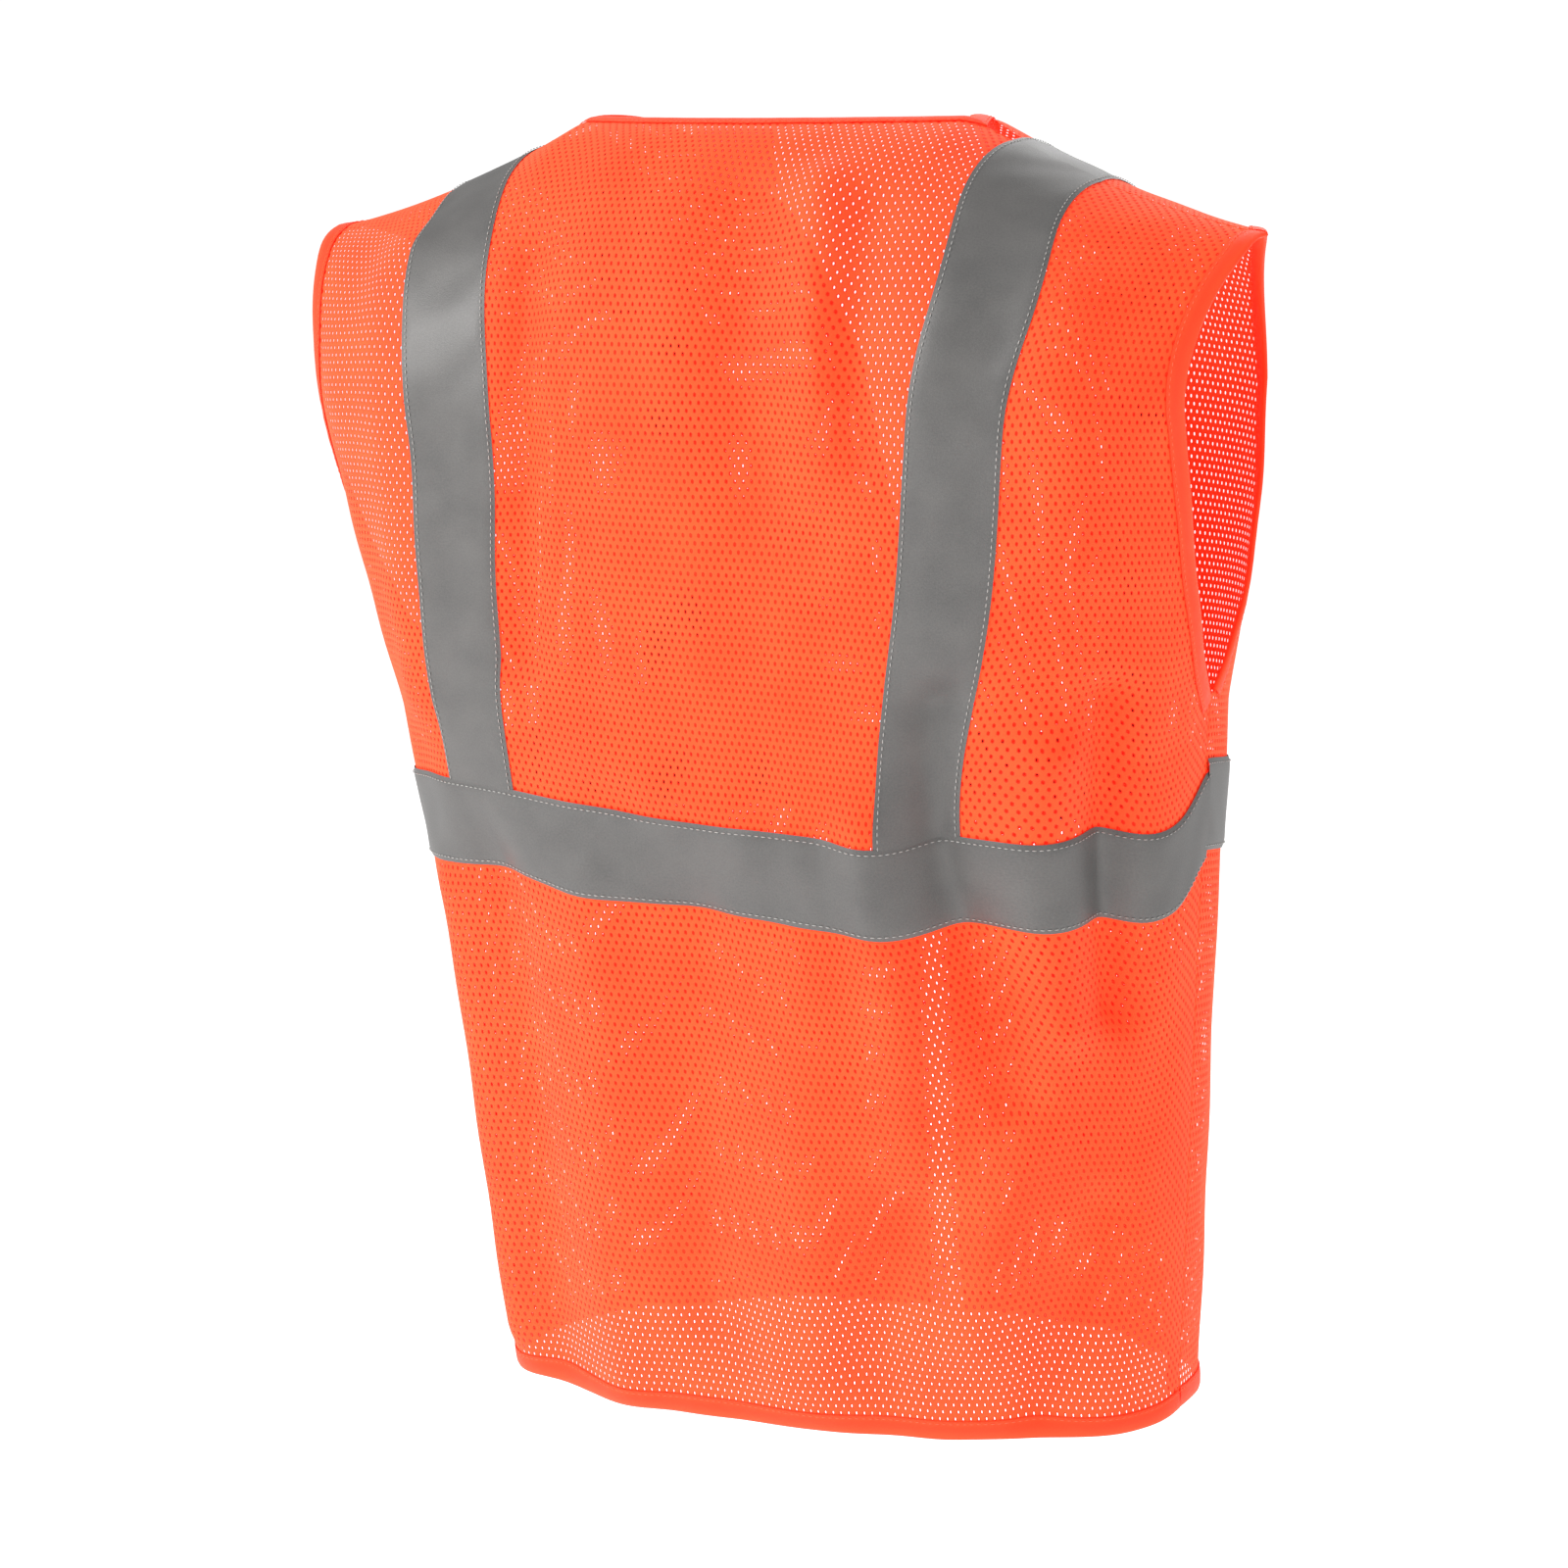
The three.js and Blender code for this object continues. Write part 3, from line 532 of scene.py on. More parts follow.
def glassBeadTape():
    f = tapeFinish
    material, tree = startMaterial("glass bead reflective tape")
    flat = addNode(tree, "ShaderNodeUVMap", uv_map="flat")
    where = {"Vector": flat.outputs[0]}
    beads = addNode(tree, "ShaderNodeTexVoronoi", {"Scale": 1000 / f["bead"]}, where, feature="F1")
    fine = {"Scale": 900, "Detail": 4, "Roughness": 0.7}
    grain = addNode(tree, "ShaderNodeTexNoise", fine, where)
    rubbed = addNode(tree, "ShaderNodeTexNoise", {"Scale": 1000 / f["rub"], "Detail": 5}, where)
    both = {2: grain.outputs["Fac"], 3: rubbed.outputs["Fac"]}
    tone = addNode(tree, "ShaderNodeMix", {0: 0.45}, both, data_type="FLOAT")
    middle = {"From Min": 0.3, "From Max": 0.7}
    spread = addNode(tree, "ShaderNodeMapRange", middle, {"Value": tone.outputs[0]})
    grey = addNode(
        tree,
        "ShaderNodeMix",
        {6: toLinear(f["dark"]), 7: toLinear(f["light"])},
        {0: spread.outputs[0]},
        data_type="RGBA",
    )
    depth = {"Strength": 0.3, "Distance": 0.0002}
    bump = addNode(tree, "ShaderNodeBump", depth, {"Height": beads.outputs["Distance"]})
    rough = {"To Min": 0.42, "To Max": 0.6}
    gloss = addNode(tree, "ShaderNodeMapRange", rough, {"Value": rubbed.outputs["Fac"]})
    finishMaterial(
        tree,
        {"Metallic": 0.35, "Specular IOR Level": 0.5},
        {"Base Color": grey.outputs[2], "Roughness": gloss.outputs[0], "Normal": bump.outputs[0]},
    )
    return material


# Twisted polyester sewing thread, matt with a fine twist.
def sewingThread(name, code):
    material, tree = startMaterial(name)
    where = {"Vector": addNode(tree, "ShaderNodeTexCoord").outputs["Object"]}
    twist = addNode(tree, "ShaderNodeTexNoise", {"Scale": 2500, "Detail": 2}, where)
    depth = {"Strength": 0.5, "Distance": 0.0001}
    bump = addNode(tree, "ShaderNodeBump", depth, {"Height": twist.outputs["Fac"]})
    tone = addNode(
        tree,
        "ShaderNodeMix",
        {6: [c * 0.8 for c in toLinear(code)[:3]] + [1], 7: toLinear(code)},
        {0: twist.outputs["Fac"]},
        data_type="RGBA",
    )
    finishMaterial(tree, {"Roughness": 0.7}, {"Base Color": tone.outputs[2], "Normal": bump.outputs[0]})
    return material


# Woven zipper tape: a herringbone of polyester yarn in the cloth's colour, with a faint painted glow.
def wovenZipperTape():
    material, tree = startMaterial("woven zipper tape")
    where = {"Vector": addNode(tree, "ShaderNodeTexCoord").outputs["Object"]}
    rib = {"Scale": 1000 / 1.1 / 20, "Distortion": 0.4}
    weave = addNode(tree, "ShaderNodeTexWave", rib, where, bands_direction="DIAGONAL")
    yarn = addNode(tree, "ShaderNodeTexNoise", {"Scale": 1500, "Detail": 3}, where)
    depth = {"Strength": 0.4, "Distance": 0.0003}
    bump = addNode(tree, "ShaderNodeBump", depth, {"Height": weave.outputs["Fac"]})
    tone = addNode(
        tree,
        "ShaderNodeMix",
        {6: toLinear("E4481F"), 7: toLinear("F7622F")},
        {0: yarn.outputs["Fac"]},
        data_type="RGBA",
    )
    # a faint painted glow from the emission
    values = {"Emission Color": toLinear("FF1000"), "Emission Strength": 0.2, "Roughness": 0.8}
    finishMaterial(tree, values, {"Base Color": tone.outputs[2], "Normal": bump.outputs[0]})
    return material


# Moulded nylon coil: smooth, slightly glossy orange plastic, with a faint painted glow.
def nylonCoil():
    material, tree = startMaterial("moulded nylon coil")
    where = {"Vector": addNode(tree, "ShaderNodeTexCoord").outputs["Object"]}
    cloud = addNode(tree, "ShaderNodeTexNoise", {"Scale": 400, "Detail": 3}, where)
    tone = addNode(
        tree,
        "ShaderNodeMix",
        {6: toLinear("D8401A"), 7: toLinear("F05A2A")},
        {0: cloud.outputs["Fac"]},
        data_type="RGBA",
    )
    rough = {"To Min": 0.28, "To Max": 0.45}
    gloss = addNode(tree, "ShaderNodeMapRange", rough, {"Value": cloud.outputs["Fac"]})
    # a faint painted glow from the emission
    values = {"Emission Color": toLinear("FF1000"), "Emission Strength": 0.15}
    finishMaterial(tree, values, {"Base Color": tone.outputs[2], "Roughness": gloss.outputs[0]})
    return material


# Die-cast zinc alloy, tumbled and nickel plated: bright, with fine scratches and duller worn spots.
def nickelZinc():
    material, tree = startMaterial("nickel plated zinc")
    where = {"Vector": addNode(tree, "ShaderNodeTexCoord").outputs["Object"]}
    fine = {"Scale": 900, "Detail": 6, "Roughness": 0.8}
    scratch = addNode(tree, "ShaderNodeTexNoise", fine, where)
    dull = addNode(tree, "ShaderNodeTexNoise", {"Scale": 220, "Detail": 2}, where)
    tone = addNode(
        tree,
        "ShaderNodeMix",
        {6: toLinear("9FA1A4"), 7: toLinear("CDCFD2")},
        {0: dull.outputs["Fac"]},
        data_type="RGBA",
    )
    rough = {"To Min": 0.2, "To Max": 0.45}
    gloss = addNode(tree, "ShaderNodeMapRange", rough, {"Value": scratch.outputs["Fac"]})
    depth = {"Strength": 0.1, "Distance": 0.0001}
    bump = addNode(tree, "ShaderNodeBump", depth, {"Height": scratch.outputs["Fac"]})
    links = {"Base Color": tone.outputs[2], "Roughness": gloss.outputs[0], "Normal": bump.outputs[0]}
    finishMaterial(tree, {"Metallic": 1.0}, links)
    return material


# Damask woven label, left blank: satin white polyester with fine cross threads.
def wovenLabel():
    material, tree = startMaterial("blank woven label")
    where = {"Vector": addNode(tree, "ShaderNodeTexCoord").outputs["Object"]}
    thread = {"Scale": 1000 / 0.7 / 20, "Distortion": 0.3}
    weft = addNode(tree, "ShaderNodeTexWave", thread, where, bands_direction="Z")
    depth = {"Strength": 0.3, "Distance": 0.0002}
    bump = addNode(tree, "ShaderNodeBump", depth, {"Height": weft.outputs["Fac"]})
    tone = addNode(
        tree,
        "ShaderNodeMix",
        {6: toLinear("E4E1DA"), 7: toLinear("F4F2ED")},
        {0: weft.outputs["Fac"]},
        data_type="RGBA",
    )
    values = {"Roughness": 0.5, "Sheen Weight": 0.3}
    finishMaterial(tree, values, {"Base Color": tone.outputs[2], "Normal": bump.outputs[0]})
    return material


finishes = {
    "knit": fluorescentKnit(),
    "binding": tricotBinding(),
    "band": glassBeadTape(),
    "greyThread": sewingThread("grey sewing thread", "C4C2BE"),
    "orangeThread": sewingThread("orange sewing thread", "FF7048"),
    "zipperTape": wovenZipperTape(),
    "coil": nylonCoil(),
    "metal": nickelZinc(),
    "label": wovenLabel(),
}
print("materials made")


def addObject(name, mesh, finish):
    mesh.name = name
    mesh.materials.clear()
    mesh.materials.append(finishes[finish])
    piece = bpy.data.objects.new(name, mesh)
    bpy.context.scene.collection.objects.link(piece)
    return piece


def storeFlat(mesh, across, up):
    corners = np.zeros(len(mesh.loops), int)
    mesh.loops.foreach_get("vertex_index", corners)
    flat = np.stack([across[corners] / 1000 + 0.5, up[corners] / 1000], 1)
    layer = mesh.uv_layers.new(name="flat")
    layer.data.foreach_set("uv", flat.astype(np.float32).ravel())


# A mesh of four-sided faces between the rows and columns of a grid of points.
def gridMesh(name, points, rows, columns, turned=False):
    index = np.arange(rows * columns).reshape(rows, columns)
    corners = [index[:-1, :-1], index[:-1, 1:], index[1:, 1:], index[1:, :-1]]
    if turned:
        corners.reverse()
    faces = np.stack(corners, 2).reshape(-1, 4)
    mesh = bpy.data.meshes.new(name)
    mesh.from_pydata(points.tolist(), [], faces.tolist())
    mesh.shade_smooth()
    return mesh


# A strip or patch of cloth from grids of flat places and lifts, with its face away from the wearer.
def clothGrid(name, panel, across, up, lift, finish, inside=False):
    mesh = gridMesh(name, place(panel, across, up, lift), *across.shape, (panel == "back") != inside)
    storeFlat(mesh, across.ravel(), up.ravel())
    return addObject(name, mesh, finish)


# Runs an object's node tree and leaves its result as a plain mesh.
def bakeTree(piece):
    bpy.context.view_layer.update()
    graph = bpy.context.evaluated_depsgraph_get()
    made = bpy.data.meshes.new_from_object(piece.evaluated_get(graph), depsgraph=graph)
    piece.modifiers.clear()
    old = piece.data
    piece.data = made
    bpy.data.meshes.remove(old)
    return piece


def runTree(piece, tree, values):
    modifier = piece.modifiers.new(tree.name, "NODES")
    modifier.node_group = tree
    for item in tree.interface.items_tree:
        if item.item_type == "SOCKET" and item.in_out == "INPUT" and item.name in values:
            modifier[item.identifier] = values[item.name]
    return bakeTree(piece)


def startTree(name, sizes):
    tree = bpy.data.node_groups.new(name, "GeometryNodeTree")
    tree.interface.new_socket("Geometry", in_out="INPUT", socket_type="NodeSocketGeometry")
    for size in sizes:
        tree.interface.new_socket(size, in_out="INPUT", socket_type="NodeSocketFloat")
    tree.interface.new_socket("Material", in_out="INPUT", socket_type="NodeSocketMaterial")
    tree.interface.new_socket("Geometry", in_out="OUTPUT", socket_type="NodeSocketGeometry")
    return tree, addNode(tree, "NodeGroupInput")


def endTree(tree, geometry, given):
    real = addNode(tree, "GeometryNodeRealizeInstances", links={"Geometry": geometry})
    joined = addNode(
        tree, "GeometryNodeMergeByDistance", {"Distance": 0.00005}, {"Geometry": real.outputs[0]}
    )
    links = {"Geometry": joined.outputs[0], "Material": given.outputs["Material"]}
    painted = addNode(tree, "GeometryNodeSetMaterial", links=links)
    addNode(tree, "NodeGroupOutput", links={"Geometry": painted.outputs[0]})


# Eyelet knit: each point becomes a six-sided cell of cloth round an oval eyelet, and the cells of a row sit
# between those of the next. A point marked plain gets a cell with no eyelet.
# The fronts are pulled wider at the armholes, so their eyelets stand further open.
knit = {
    "pitch": 4.3,
    "rowPitch": 4.2,
    "eyeletWidth": {"back": 0.68, "front": 1.1},
    "eyeletHeight": {"back": 1.9, "front": 2.2},
    "dimple": 0.4,
    "topRow": {"back": 780, "front": 760},  # height up the threads where the rows of cells end
}


# The six-sided cell of cloth, and the same cell with its eyelet open.
def addCell(tree, given):
    hexagon = addNode(tree, "GeometryNodeMeshCircle", {"Vertices": 6, "Radius": 1.0}, fill_type="NGON")
    turned = {"Rotation": (0, 0, math.pi / 2)}
    upright = addNode(tree, "GeometryNodeTransform", turned, {"Geometry": hexagon.outputs[0]})
    pitch, rowPitch = {0: given.outputs["Pitch"]}, {0: given.outputs["Row Pitch"]}
    halfPitch = addNode(tree, "ShaderNodeMath", {1: 1 / math.sqrt(3)}, pitch, operation="MULTIPLY")
    apex = addNode(tree, "ShaderNodeMath", {1: 1 / 1.5}, rowPitch, operation="MULTIPLY")
    across = {0: halfPitch.outputs[0], 1: apex.outputs[0]}
    cellSize = addNode(tree, "ShaderNodeCombineXYZ", {2: 1.0}, across)
    links = {"Geometry": upright.outputs[0], "Scale": cellSize.outputs[0]}
    cell = addNode(tree, "GeometryNodeTransform", links=links)
    height = addNode(tree, "ShaderNodeMath", {1: 2.0}, {0: apex.outputs[0]}, operation="MULTIPLY")
    return cell, addEyelet(tree, given, cell, height)


# The cell's face is drawn in to the eyelet's outline and sunk a little, and then taken out.
def addEyelet(tree, given, cell, height):
    mesh = {"Mesh": cell.outputs[0]}
    inset = addNode(tree, "GeometryNodeExtrudeMesh", {"Offset Scale": 0.0}, mesh, mode="FACES")
    links = {0: given.outputs["Eyelet Width"], 1: given.outputs["Pitch"]}
    widthShare = addNode(tree, "ShaderNodeMath", links=links, operation="DIVIDE")
    links = {0: given.outputs["Eyelet Height"], 1: height.outputs[0]}
    heightShare = addNode(tree, "ShaderNodeMath", links=links, operation="DIVIDE")
    links = {0: widthShare.outputs[0], 1: heightShare.outputs[0]}
    share = addNode(tree, "ShaderNodeCombineXYZ", links=links)
    where = addNode(tree, "GeometryNodeInputPosition")
    links = {0: where.outputs[0], 1: share.outputs[0]}
    drawn = addNode(tree, "ShaderNodeVectorMath", links=links, operation="MULTIPLY")
    dimple = {0: given.outputs["Dimple"]}
    sunk = addNode(tree, "ShaderNodeMath", {1: -1.0}, dimple, operation="MULTIPLY")
    down = addNode(tree, "ShaderNodeCombineXYZ", links={2: sunk.outputs[0]})
    rimShade = addNode(tree, "GeometryNodeSetPosition")
    tree.links.new(inset.outputs["Mesh"], rimShade.inputs["Geometry"])
    tree.links.new(inset.outputs["Top"], rimShade.inputs["Selection"])
    tree.links.new(drawn.outputs[0], rimShade.inputs["Position"])
    tree.links.new(down.outputs[0], rimShade.inputs["Offset"])
    links = {"Geometry": rimShade.outputs[0], "Selection": inset.outputs["Top"]}
    return addNode(tree, "GeometryNodeDeleteGeometry", links=links, domain="FACE", mode="ONLY_FACE")


def eyeletTree():
    sizes = ["Pitch", "Row Pitch", "Eyelet Width", "Eyelet Height", "Dimple"]
    tree, given = startTree("eyelet knit", sizes)
    cell, eyelet = addCell(tree, given)
    plain = addNode(tree, "GeometryNodeInputNamedAttribute", {"Name": "plain"}, data_type="BOOLEAN")
    pierced = addNode(tree, "FunctionNodeBooleanMath", links={0: plain.outputs[0]}, operation="NOT")
    both = addNode(tree, "GeometryNodeJoinGeometry")
    for shape, chosen in ((eyelet, pierced), (cell, plain)):
        links = {"Points": given.outputs["Geometry"], "Instance": shape.outputs[0]}
        links["Selection"] = chosen.outputs[0]
        placed = addNode(tree, "GeometryNodeInstanceOnPoints", links=links)
        tree.links.new(placed.outputs[0], both.inputs[0])
    endTree(tree, both.outputs[0], given)
    return tree


eyeletKnit = eyeletTree()


# Cuts a piece of eyelet knit to a flat outline and hangs it. limits gives, for heights and for places
# across, the lowest and highest place that the cloth reaches; plain says where it has no eyelets.
def knitPiece(name, panel, span, acrossLimits, upLimits, plain, lift=0.0):
    p, r = knit["pitch"], knit["rowPitch"]
    rows = np.arange(math.floor(span[2] / r) - 1, math.ceil(span[3] / r) + 2)
    columns = np.arange(math.floor(span[0] / p) - 1, math.ceil(span[1] / p) + 2)
    row, column = np.meshgrid(rows, columns, indexing="ij")
    across = (column + 0.5 * (row % 2)) * p
    up = row * r
    across, up = across.ravel(), up.ravel()
    low, high = acrossLimits(up)
    floor, top = upLimits(across)
    margin = p / 2
    kept = (across > low - margin) & (across < high + margin) & (up > floor - margin) & (up < top + margin)
    across, up = across[kept], up[kept]
    mesh = bpy.data.meshes.new(name)
    mesh.from_pydata((np.stack([across, up, 0 * up], 1) / 1000).tolist(), [], [])
    mark = mesh.attributes.new("plain", "BOOLEAN", "POINT")
    mark.data.foreach_set("value", plain(across, up))
    piece = addObject(name, mesh, "knit")
    values = {
        "Pitch": p / 1000,
        "Row Pitch": r / 1000,
        "Eyelet Width": knit["eyeletWidth"][panel] / 1000,
        "Eyelet Height": knit["eyeletHeight"][panel] / 1000,
        "Dimple": knit["dimple"] / 1000,
        "Material": finishes["knit"],
    }
    runTree(piece, eyeletKnit, values)
    mesh = piece.data
    flat = np.zeros(len(mesh.vertices) * 3)
    mesh.vertices.foreach_get("co", flat)
    flat = flat.reshape(-1, 3) * 1000
    low, high = acrossLimits(flat[:, 1])
    across = np.clip(flat[:, 0], low, high)
    floor, top = upLimits(across)
    up = np.clip(flat[:, 1], floor, top)
    lifts = lift(across, up) if callable(lift) else lift
    # marks each eyelet's sunk inner ring, where the knit's painted shade is darkest
    rimShade = mesh.attributes.new("rimShade", "FLOAT", "POINT")
    rimShade.data.foreach_set("value", (flat[:, 2] < -knit["dimple"] / 2).astype(np.float32))
    mesh.vertices.foreach_set("co", place(panel, across, up, flat[:, 2] + lifts).ravel())
    storeFlat(mesh, across, up)
    if panel == "back":
        mesh.flip_normals()
    mesh.shade_smooth()
    mesh.update()
    return piece


# Lockstitch: along each run of edges, one short spindle of thread for each stitch.
def stitchTree():
    tree, given = startTree("lockstitch", ["Stitch Length", "Gap", "Thread"])
    curve = addNode(tree, "GeometryNodeMeshToCurve", links={"Mesh": given.outputs["Geometry"]})
    links = {0: given.outputs["Stitch Length"], 1: given.outputs["Gap"]}
    pitch = addNode(tree, "ShaderNodeMath", links=links, operation="ADD")
    links = {"Curve": curve.outputs[0], "Length": pitch.outputs[0]}
    run = addNode(tree, "GeometryNodeResampleCurve", links=links, mode="LENGTH")
    bead = addNode(tree, "GeometryNodeMeshIcoSphere", {"Radius": 0.5, "Subdivisions": 1})
    thread = given.outputs["Thread"]
    thick = {0: given.outputs["Stitch Length"], 1: thread, 2: thread}
    size = addNode(tree, "ShaderNodeCombineXYZ", links=thick)
    way = {"Vector": addNode(tree, "GeometryNodeInputTangent").outputs[0]}
    turn = addNode(tree, "FunctionNodeAlignRotationToVector", links=way, axis="X")
    links = {
        "Points": run.outputs[0],
        "Instance": bead.outputs[0],
        "Rotation": turn.outputs[0],
        "Scale": size.outputs[0],
    }
    placed = addNode(tree, "GeometryNodeInstanceOnPoints", links=links)
    endTree(tree, placed.outputs[0], given)
    return tree


lockstitch = stitchTree()
stitch = {"length": 2.7, "gap": 1.1, "thread": 0.55}
stitchRuns = {}  # (name, finish): runs of points


def sewRun(group, finish, points):
    stitchRuns.setdefault((group, finish), []).append(points)


def sewAll():
    made = {}
    for (group, finish), runs in stitchRuns.items():
        points, edges = [], []
        for run in runs:
            start = len(points)
            points.extend(run.tolist())
            edges.extend((i, i + 1) for i in range(start, start + len(run) - 1))
        name = group + finish[0].upper() + finish[1:]
        mesh = bpy.data.meshes.new(name)
        mesh.from_pydata(points, edges, [])
        piece = addObject(name, mesh, finish)
        values = {
            "Stitch Length": stitch["length"] / 1000,
            "Gap": stitch["gap"] / 1000,
            "Thread": stitch["thread"] / 1000,
            "Material": finishes[finish],
        }
        runTree(piece, lockstitch, values)
        piece.data.shade_smooth()
        made.setdefault(group, []).append(piece)
    return made


def evenly(across, up, step=4):
    away = np.concatenate([[0], np.cumsum(np.hypot(np.diff(across), np.diff(up)))])
    wanted = np.linspace(0, away[-1], max(2, int(round(away[-1] / step)) + 1))
    return np.interp(wanted, away, across), np.interp(wanted, away, up)


# Reflective bands. The uprights end under the waist band's top edge.
band = {
    "width": 50.8,
    "atShoulder": 163,
    "atWaist": 140,
    "waistTop": 348,
    "uprightLift": 1.1,
    "waistLift": 1.9,
    "seamIn": 2.3,  # stitch line from the band's edge
    "tuck": 7,
    "overSeam": 5,  # how far a front band's cut end stands past the shoulder seam
    "fray": 0.9,
    "threadLift": 0.15,
    "step": 2.6,
}


def bandGroup(panel, side):
    if panel == "back":
        return "backStitches"
    return "rightStitches" if side < 0 else "leftStitches"


def crinkle(across, up, phase):
    soft = np.sin(up / 13.7 + across / 41 + phase) * np.sin(up / 31 + phase * 2)
    fine = np.sin(up / 5.3 + across / 17 + phase * 3) * np.sin(across / 11 + up / 29)
    return 0.45 * soft + 0.2 * fine


def bandLift(base, across, up, fromEdge, phase):
    pressed = 1 - 0.6 * np.exp(-((fromEdge / 1.2) ** 2))  # cut edges are held down by the seam
    seam = -0.25 * np.exp(-(((fromEdge - band["seamIn"]) / 0.9) ** 2))
    return base * pressed + seam + crinkle(across, up, phase) * smoothStep(fromEdge, 0, 7)


def uprightBand(name, panel, side, overSeam=0.0):
    width, step = band["width"], band["step"]
    bottom = band["waistTop"] - band["tuck"]
    columns = np.linspace(-width / 2, width / 2, int(width / step) + 1)
    length = float(topOf(panel, side * band["atShoulder"])) - bottom
    rows = np.linspace(0, 1, int(length / step) + 1)
    share, offset = np.meshgrid(rows, columns, indexing="ij")
    across = side * (mix(band["atWaist"], band["atShoulder"], share) + offset)
    top = topOf(panel, across) + overSeam
    up = bottom + share * (top - bottom)
    fromEdge = width / 2 - np.abs(offset)
    lift = bandLift(band["uprightLift"], across, up, fromEdge, 1.3 * side + len(panel))
    if overSeam:
        # the front band's cut end stands up over the seam, frayed
        past = np.clip(1 - (top - up) / overSeam, 0, 1)
        up = up + past * band["fray"] * np.sin(offset * 2.1) * np.sin(offset * 0.7)
        lift = lift - band["fray"] * past
    group = bandGroup(panel, side)
    for edge in (-1, 1):
        inset = edge * (width / 2 - band["seamIn"])
        line = side * (mix(band["atWaist"], band["atShoulder"], rows) + inset)
        seamTop = topOf(panel, line)
        heights = bottom + rows * (seamTop - bottom)
        threadLift = band["uprightLift"] + band["threadLift"]
        sewRun(group, "greyThread", place(panel, line, heights, threadLift))
    return clothGrid(name, panel, across, up, lift, "band")


def waistBand(name, panel, low, high):
    width, step = band["width"], band["step"]
    columns = np.linspace(0, 1, int(2 * 230 / step) + 1)
    rows = np.linspace(-width, 0, int(width / step) + 1)
    offset, share = np.meshgrid(rows, columns, indexing="ij")
    level = (band["waistTop"] + offset) / garment["curveStart"]
    reach = np.interp(level, edgeLevels, sideEdges[panel][0])
    starts = -reach if low is None else np.full_like(reach, low)
    ends = reach if high is None else np.full_like(reach, high)
    across = mix(starts, ends, share)
    up = band["waistTop"] + offset
    fromEdge = width / 2 - np.abs(offset + width / 2)
    lift = bandLift(band["waistLift"], up, across, fromEdge, 0.7 + len(name))
    group = bandGroup(panel, -1 if low is None else 1)
    threadLift = band["waistLift"] + band["threadLift"]
    for row in (1, len(rows) - 2):
        sewRun(group, "greyThread", place(panel, across[row], up[row], threadLift))
    return clothGrid(name, panel, across, up, lift, "band")


# Fold-over binding round the cut edges.
binding = {
    "width": 10,
    "seamIn": 8.4,
    "step": 4,
    "mitre": 14,  # length over which an end turns to meet the next binding
    # distance in from the cut edge, and lift off the cloth
    "profile": [(10, 0.5), (9.6, 0.95), (8.4, 0.8), (7, 1.2), (4, 1.5), (1, 1.55), (-0.8, 1.1), (-1.4, 0)],
}


# The way along the shoulder seam from one of its ends, on the flat cloth.
def seamWay(panel, start, side):
    run = side * binding["width"]
    way = np.array([run, float(topOf(panel, start + run) - topOf(panel, start))])
    return way / np.linalg.norm(way)


# Ends at the shoulder seam turn to lie along it, so that the front and back bindings meet there.
def mitred(inward, ends):
    away = np.arange(len(inward)) * binding["step"]
    for end, way in ends:
        fromEnd = away if end == "start" else away[::-1]
        inward = mix(way, inward, smoothStep(fromEnd, 0, binding["mitre"])[:, None])
    return inward / np.linalg.norm(inward, axis=1, keepdims=True)


def bindEdge(name, panel, across, up, turn, group, ends=()):
    across, up = evenly(across, up, binding["step"])
    along = np.stack([np.gradient(across), np.gradient(up)], 1)
    along = along / np.linalg.norm(along, axis=1, keepdims=True)
    inward = mitred(turn * np.stack([-along[:, 1], along[:, 0]], 1), ends)
    outer = binding["profile"]
    profile = np.array(outer + [(d, -l) for d, l in outer[-2::-1]])
    distance, lift = profile[:, 0], profile[:, 1]
    a = across[:, None] + inward[:, :1] * distance
    u = up[:, None] + inward[:, 1:] * distance
    run = np.arange(len(across))
    pull = 1 + 0.12 * np.sin(run * 1.9) + 0.1 * np.sin(run * 0.63)  # the stitches gather the fold slightly
    lifts = lift[None, :] * mix(1, pull[:, None], smoothStep(distance, -1, 8)[None, :])
    mesh = gridMesh(name, place(panel, a, u, lifts), *a.shape, (panel == "back") != (turn > 0))
    away = np.broadcast_to(run[:, None] * binding["step"], a.shape)
    around = np.broadcast_to(np.arange(len(profile)) * 1.6, a.shape)
    storeFlat(mesh, away.ravel(), around.ravel())
    seam = binding["seamIn"]
    for lifted in (1.0, -1.0):
        line = place(panel, across + inward[:, 0] * seam, up + inward[:, 1] * seam, lifted)
        sewRun(group, "orangeThread", line)
    return addObject(name, mesh, "binding")


pieces = {"back": [], "front_right": [], "front_left": []}
stitchGroups = {"back": "backStitches", "front_right": "rightStitches", "front_left": "leftStitches"}


def keep(piece, body, slot, *nodes):
    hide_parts(*nodes)
    pieces[body].append(piece)
    return piece


# Back: one panel from side seam to side seam, cut out for the armholes and the neck.
hemEdge = 1.4  # the cut edge lies inside the fold of the hem binding


def underBand(panel, across, up):
    inner = 9  # cells this far inside a band's edge are hidden by it
    waist = (up > band["waistTop"] - band["width"] + inner) & (up < band["waistTop"] - inner)
    share = (up - band["waistTop"]) / (topOf(panel, band["atShoulder"]) - band["waistTop"])
    middle = mix(band["atWaist"], band["atShoulder"], share)
    upright = (up > band["waistTop"]) & (np.abs(np.abs(across) - middle) < band["width"] / 2 - inner)
    return waist | upright


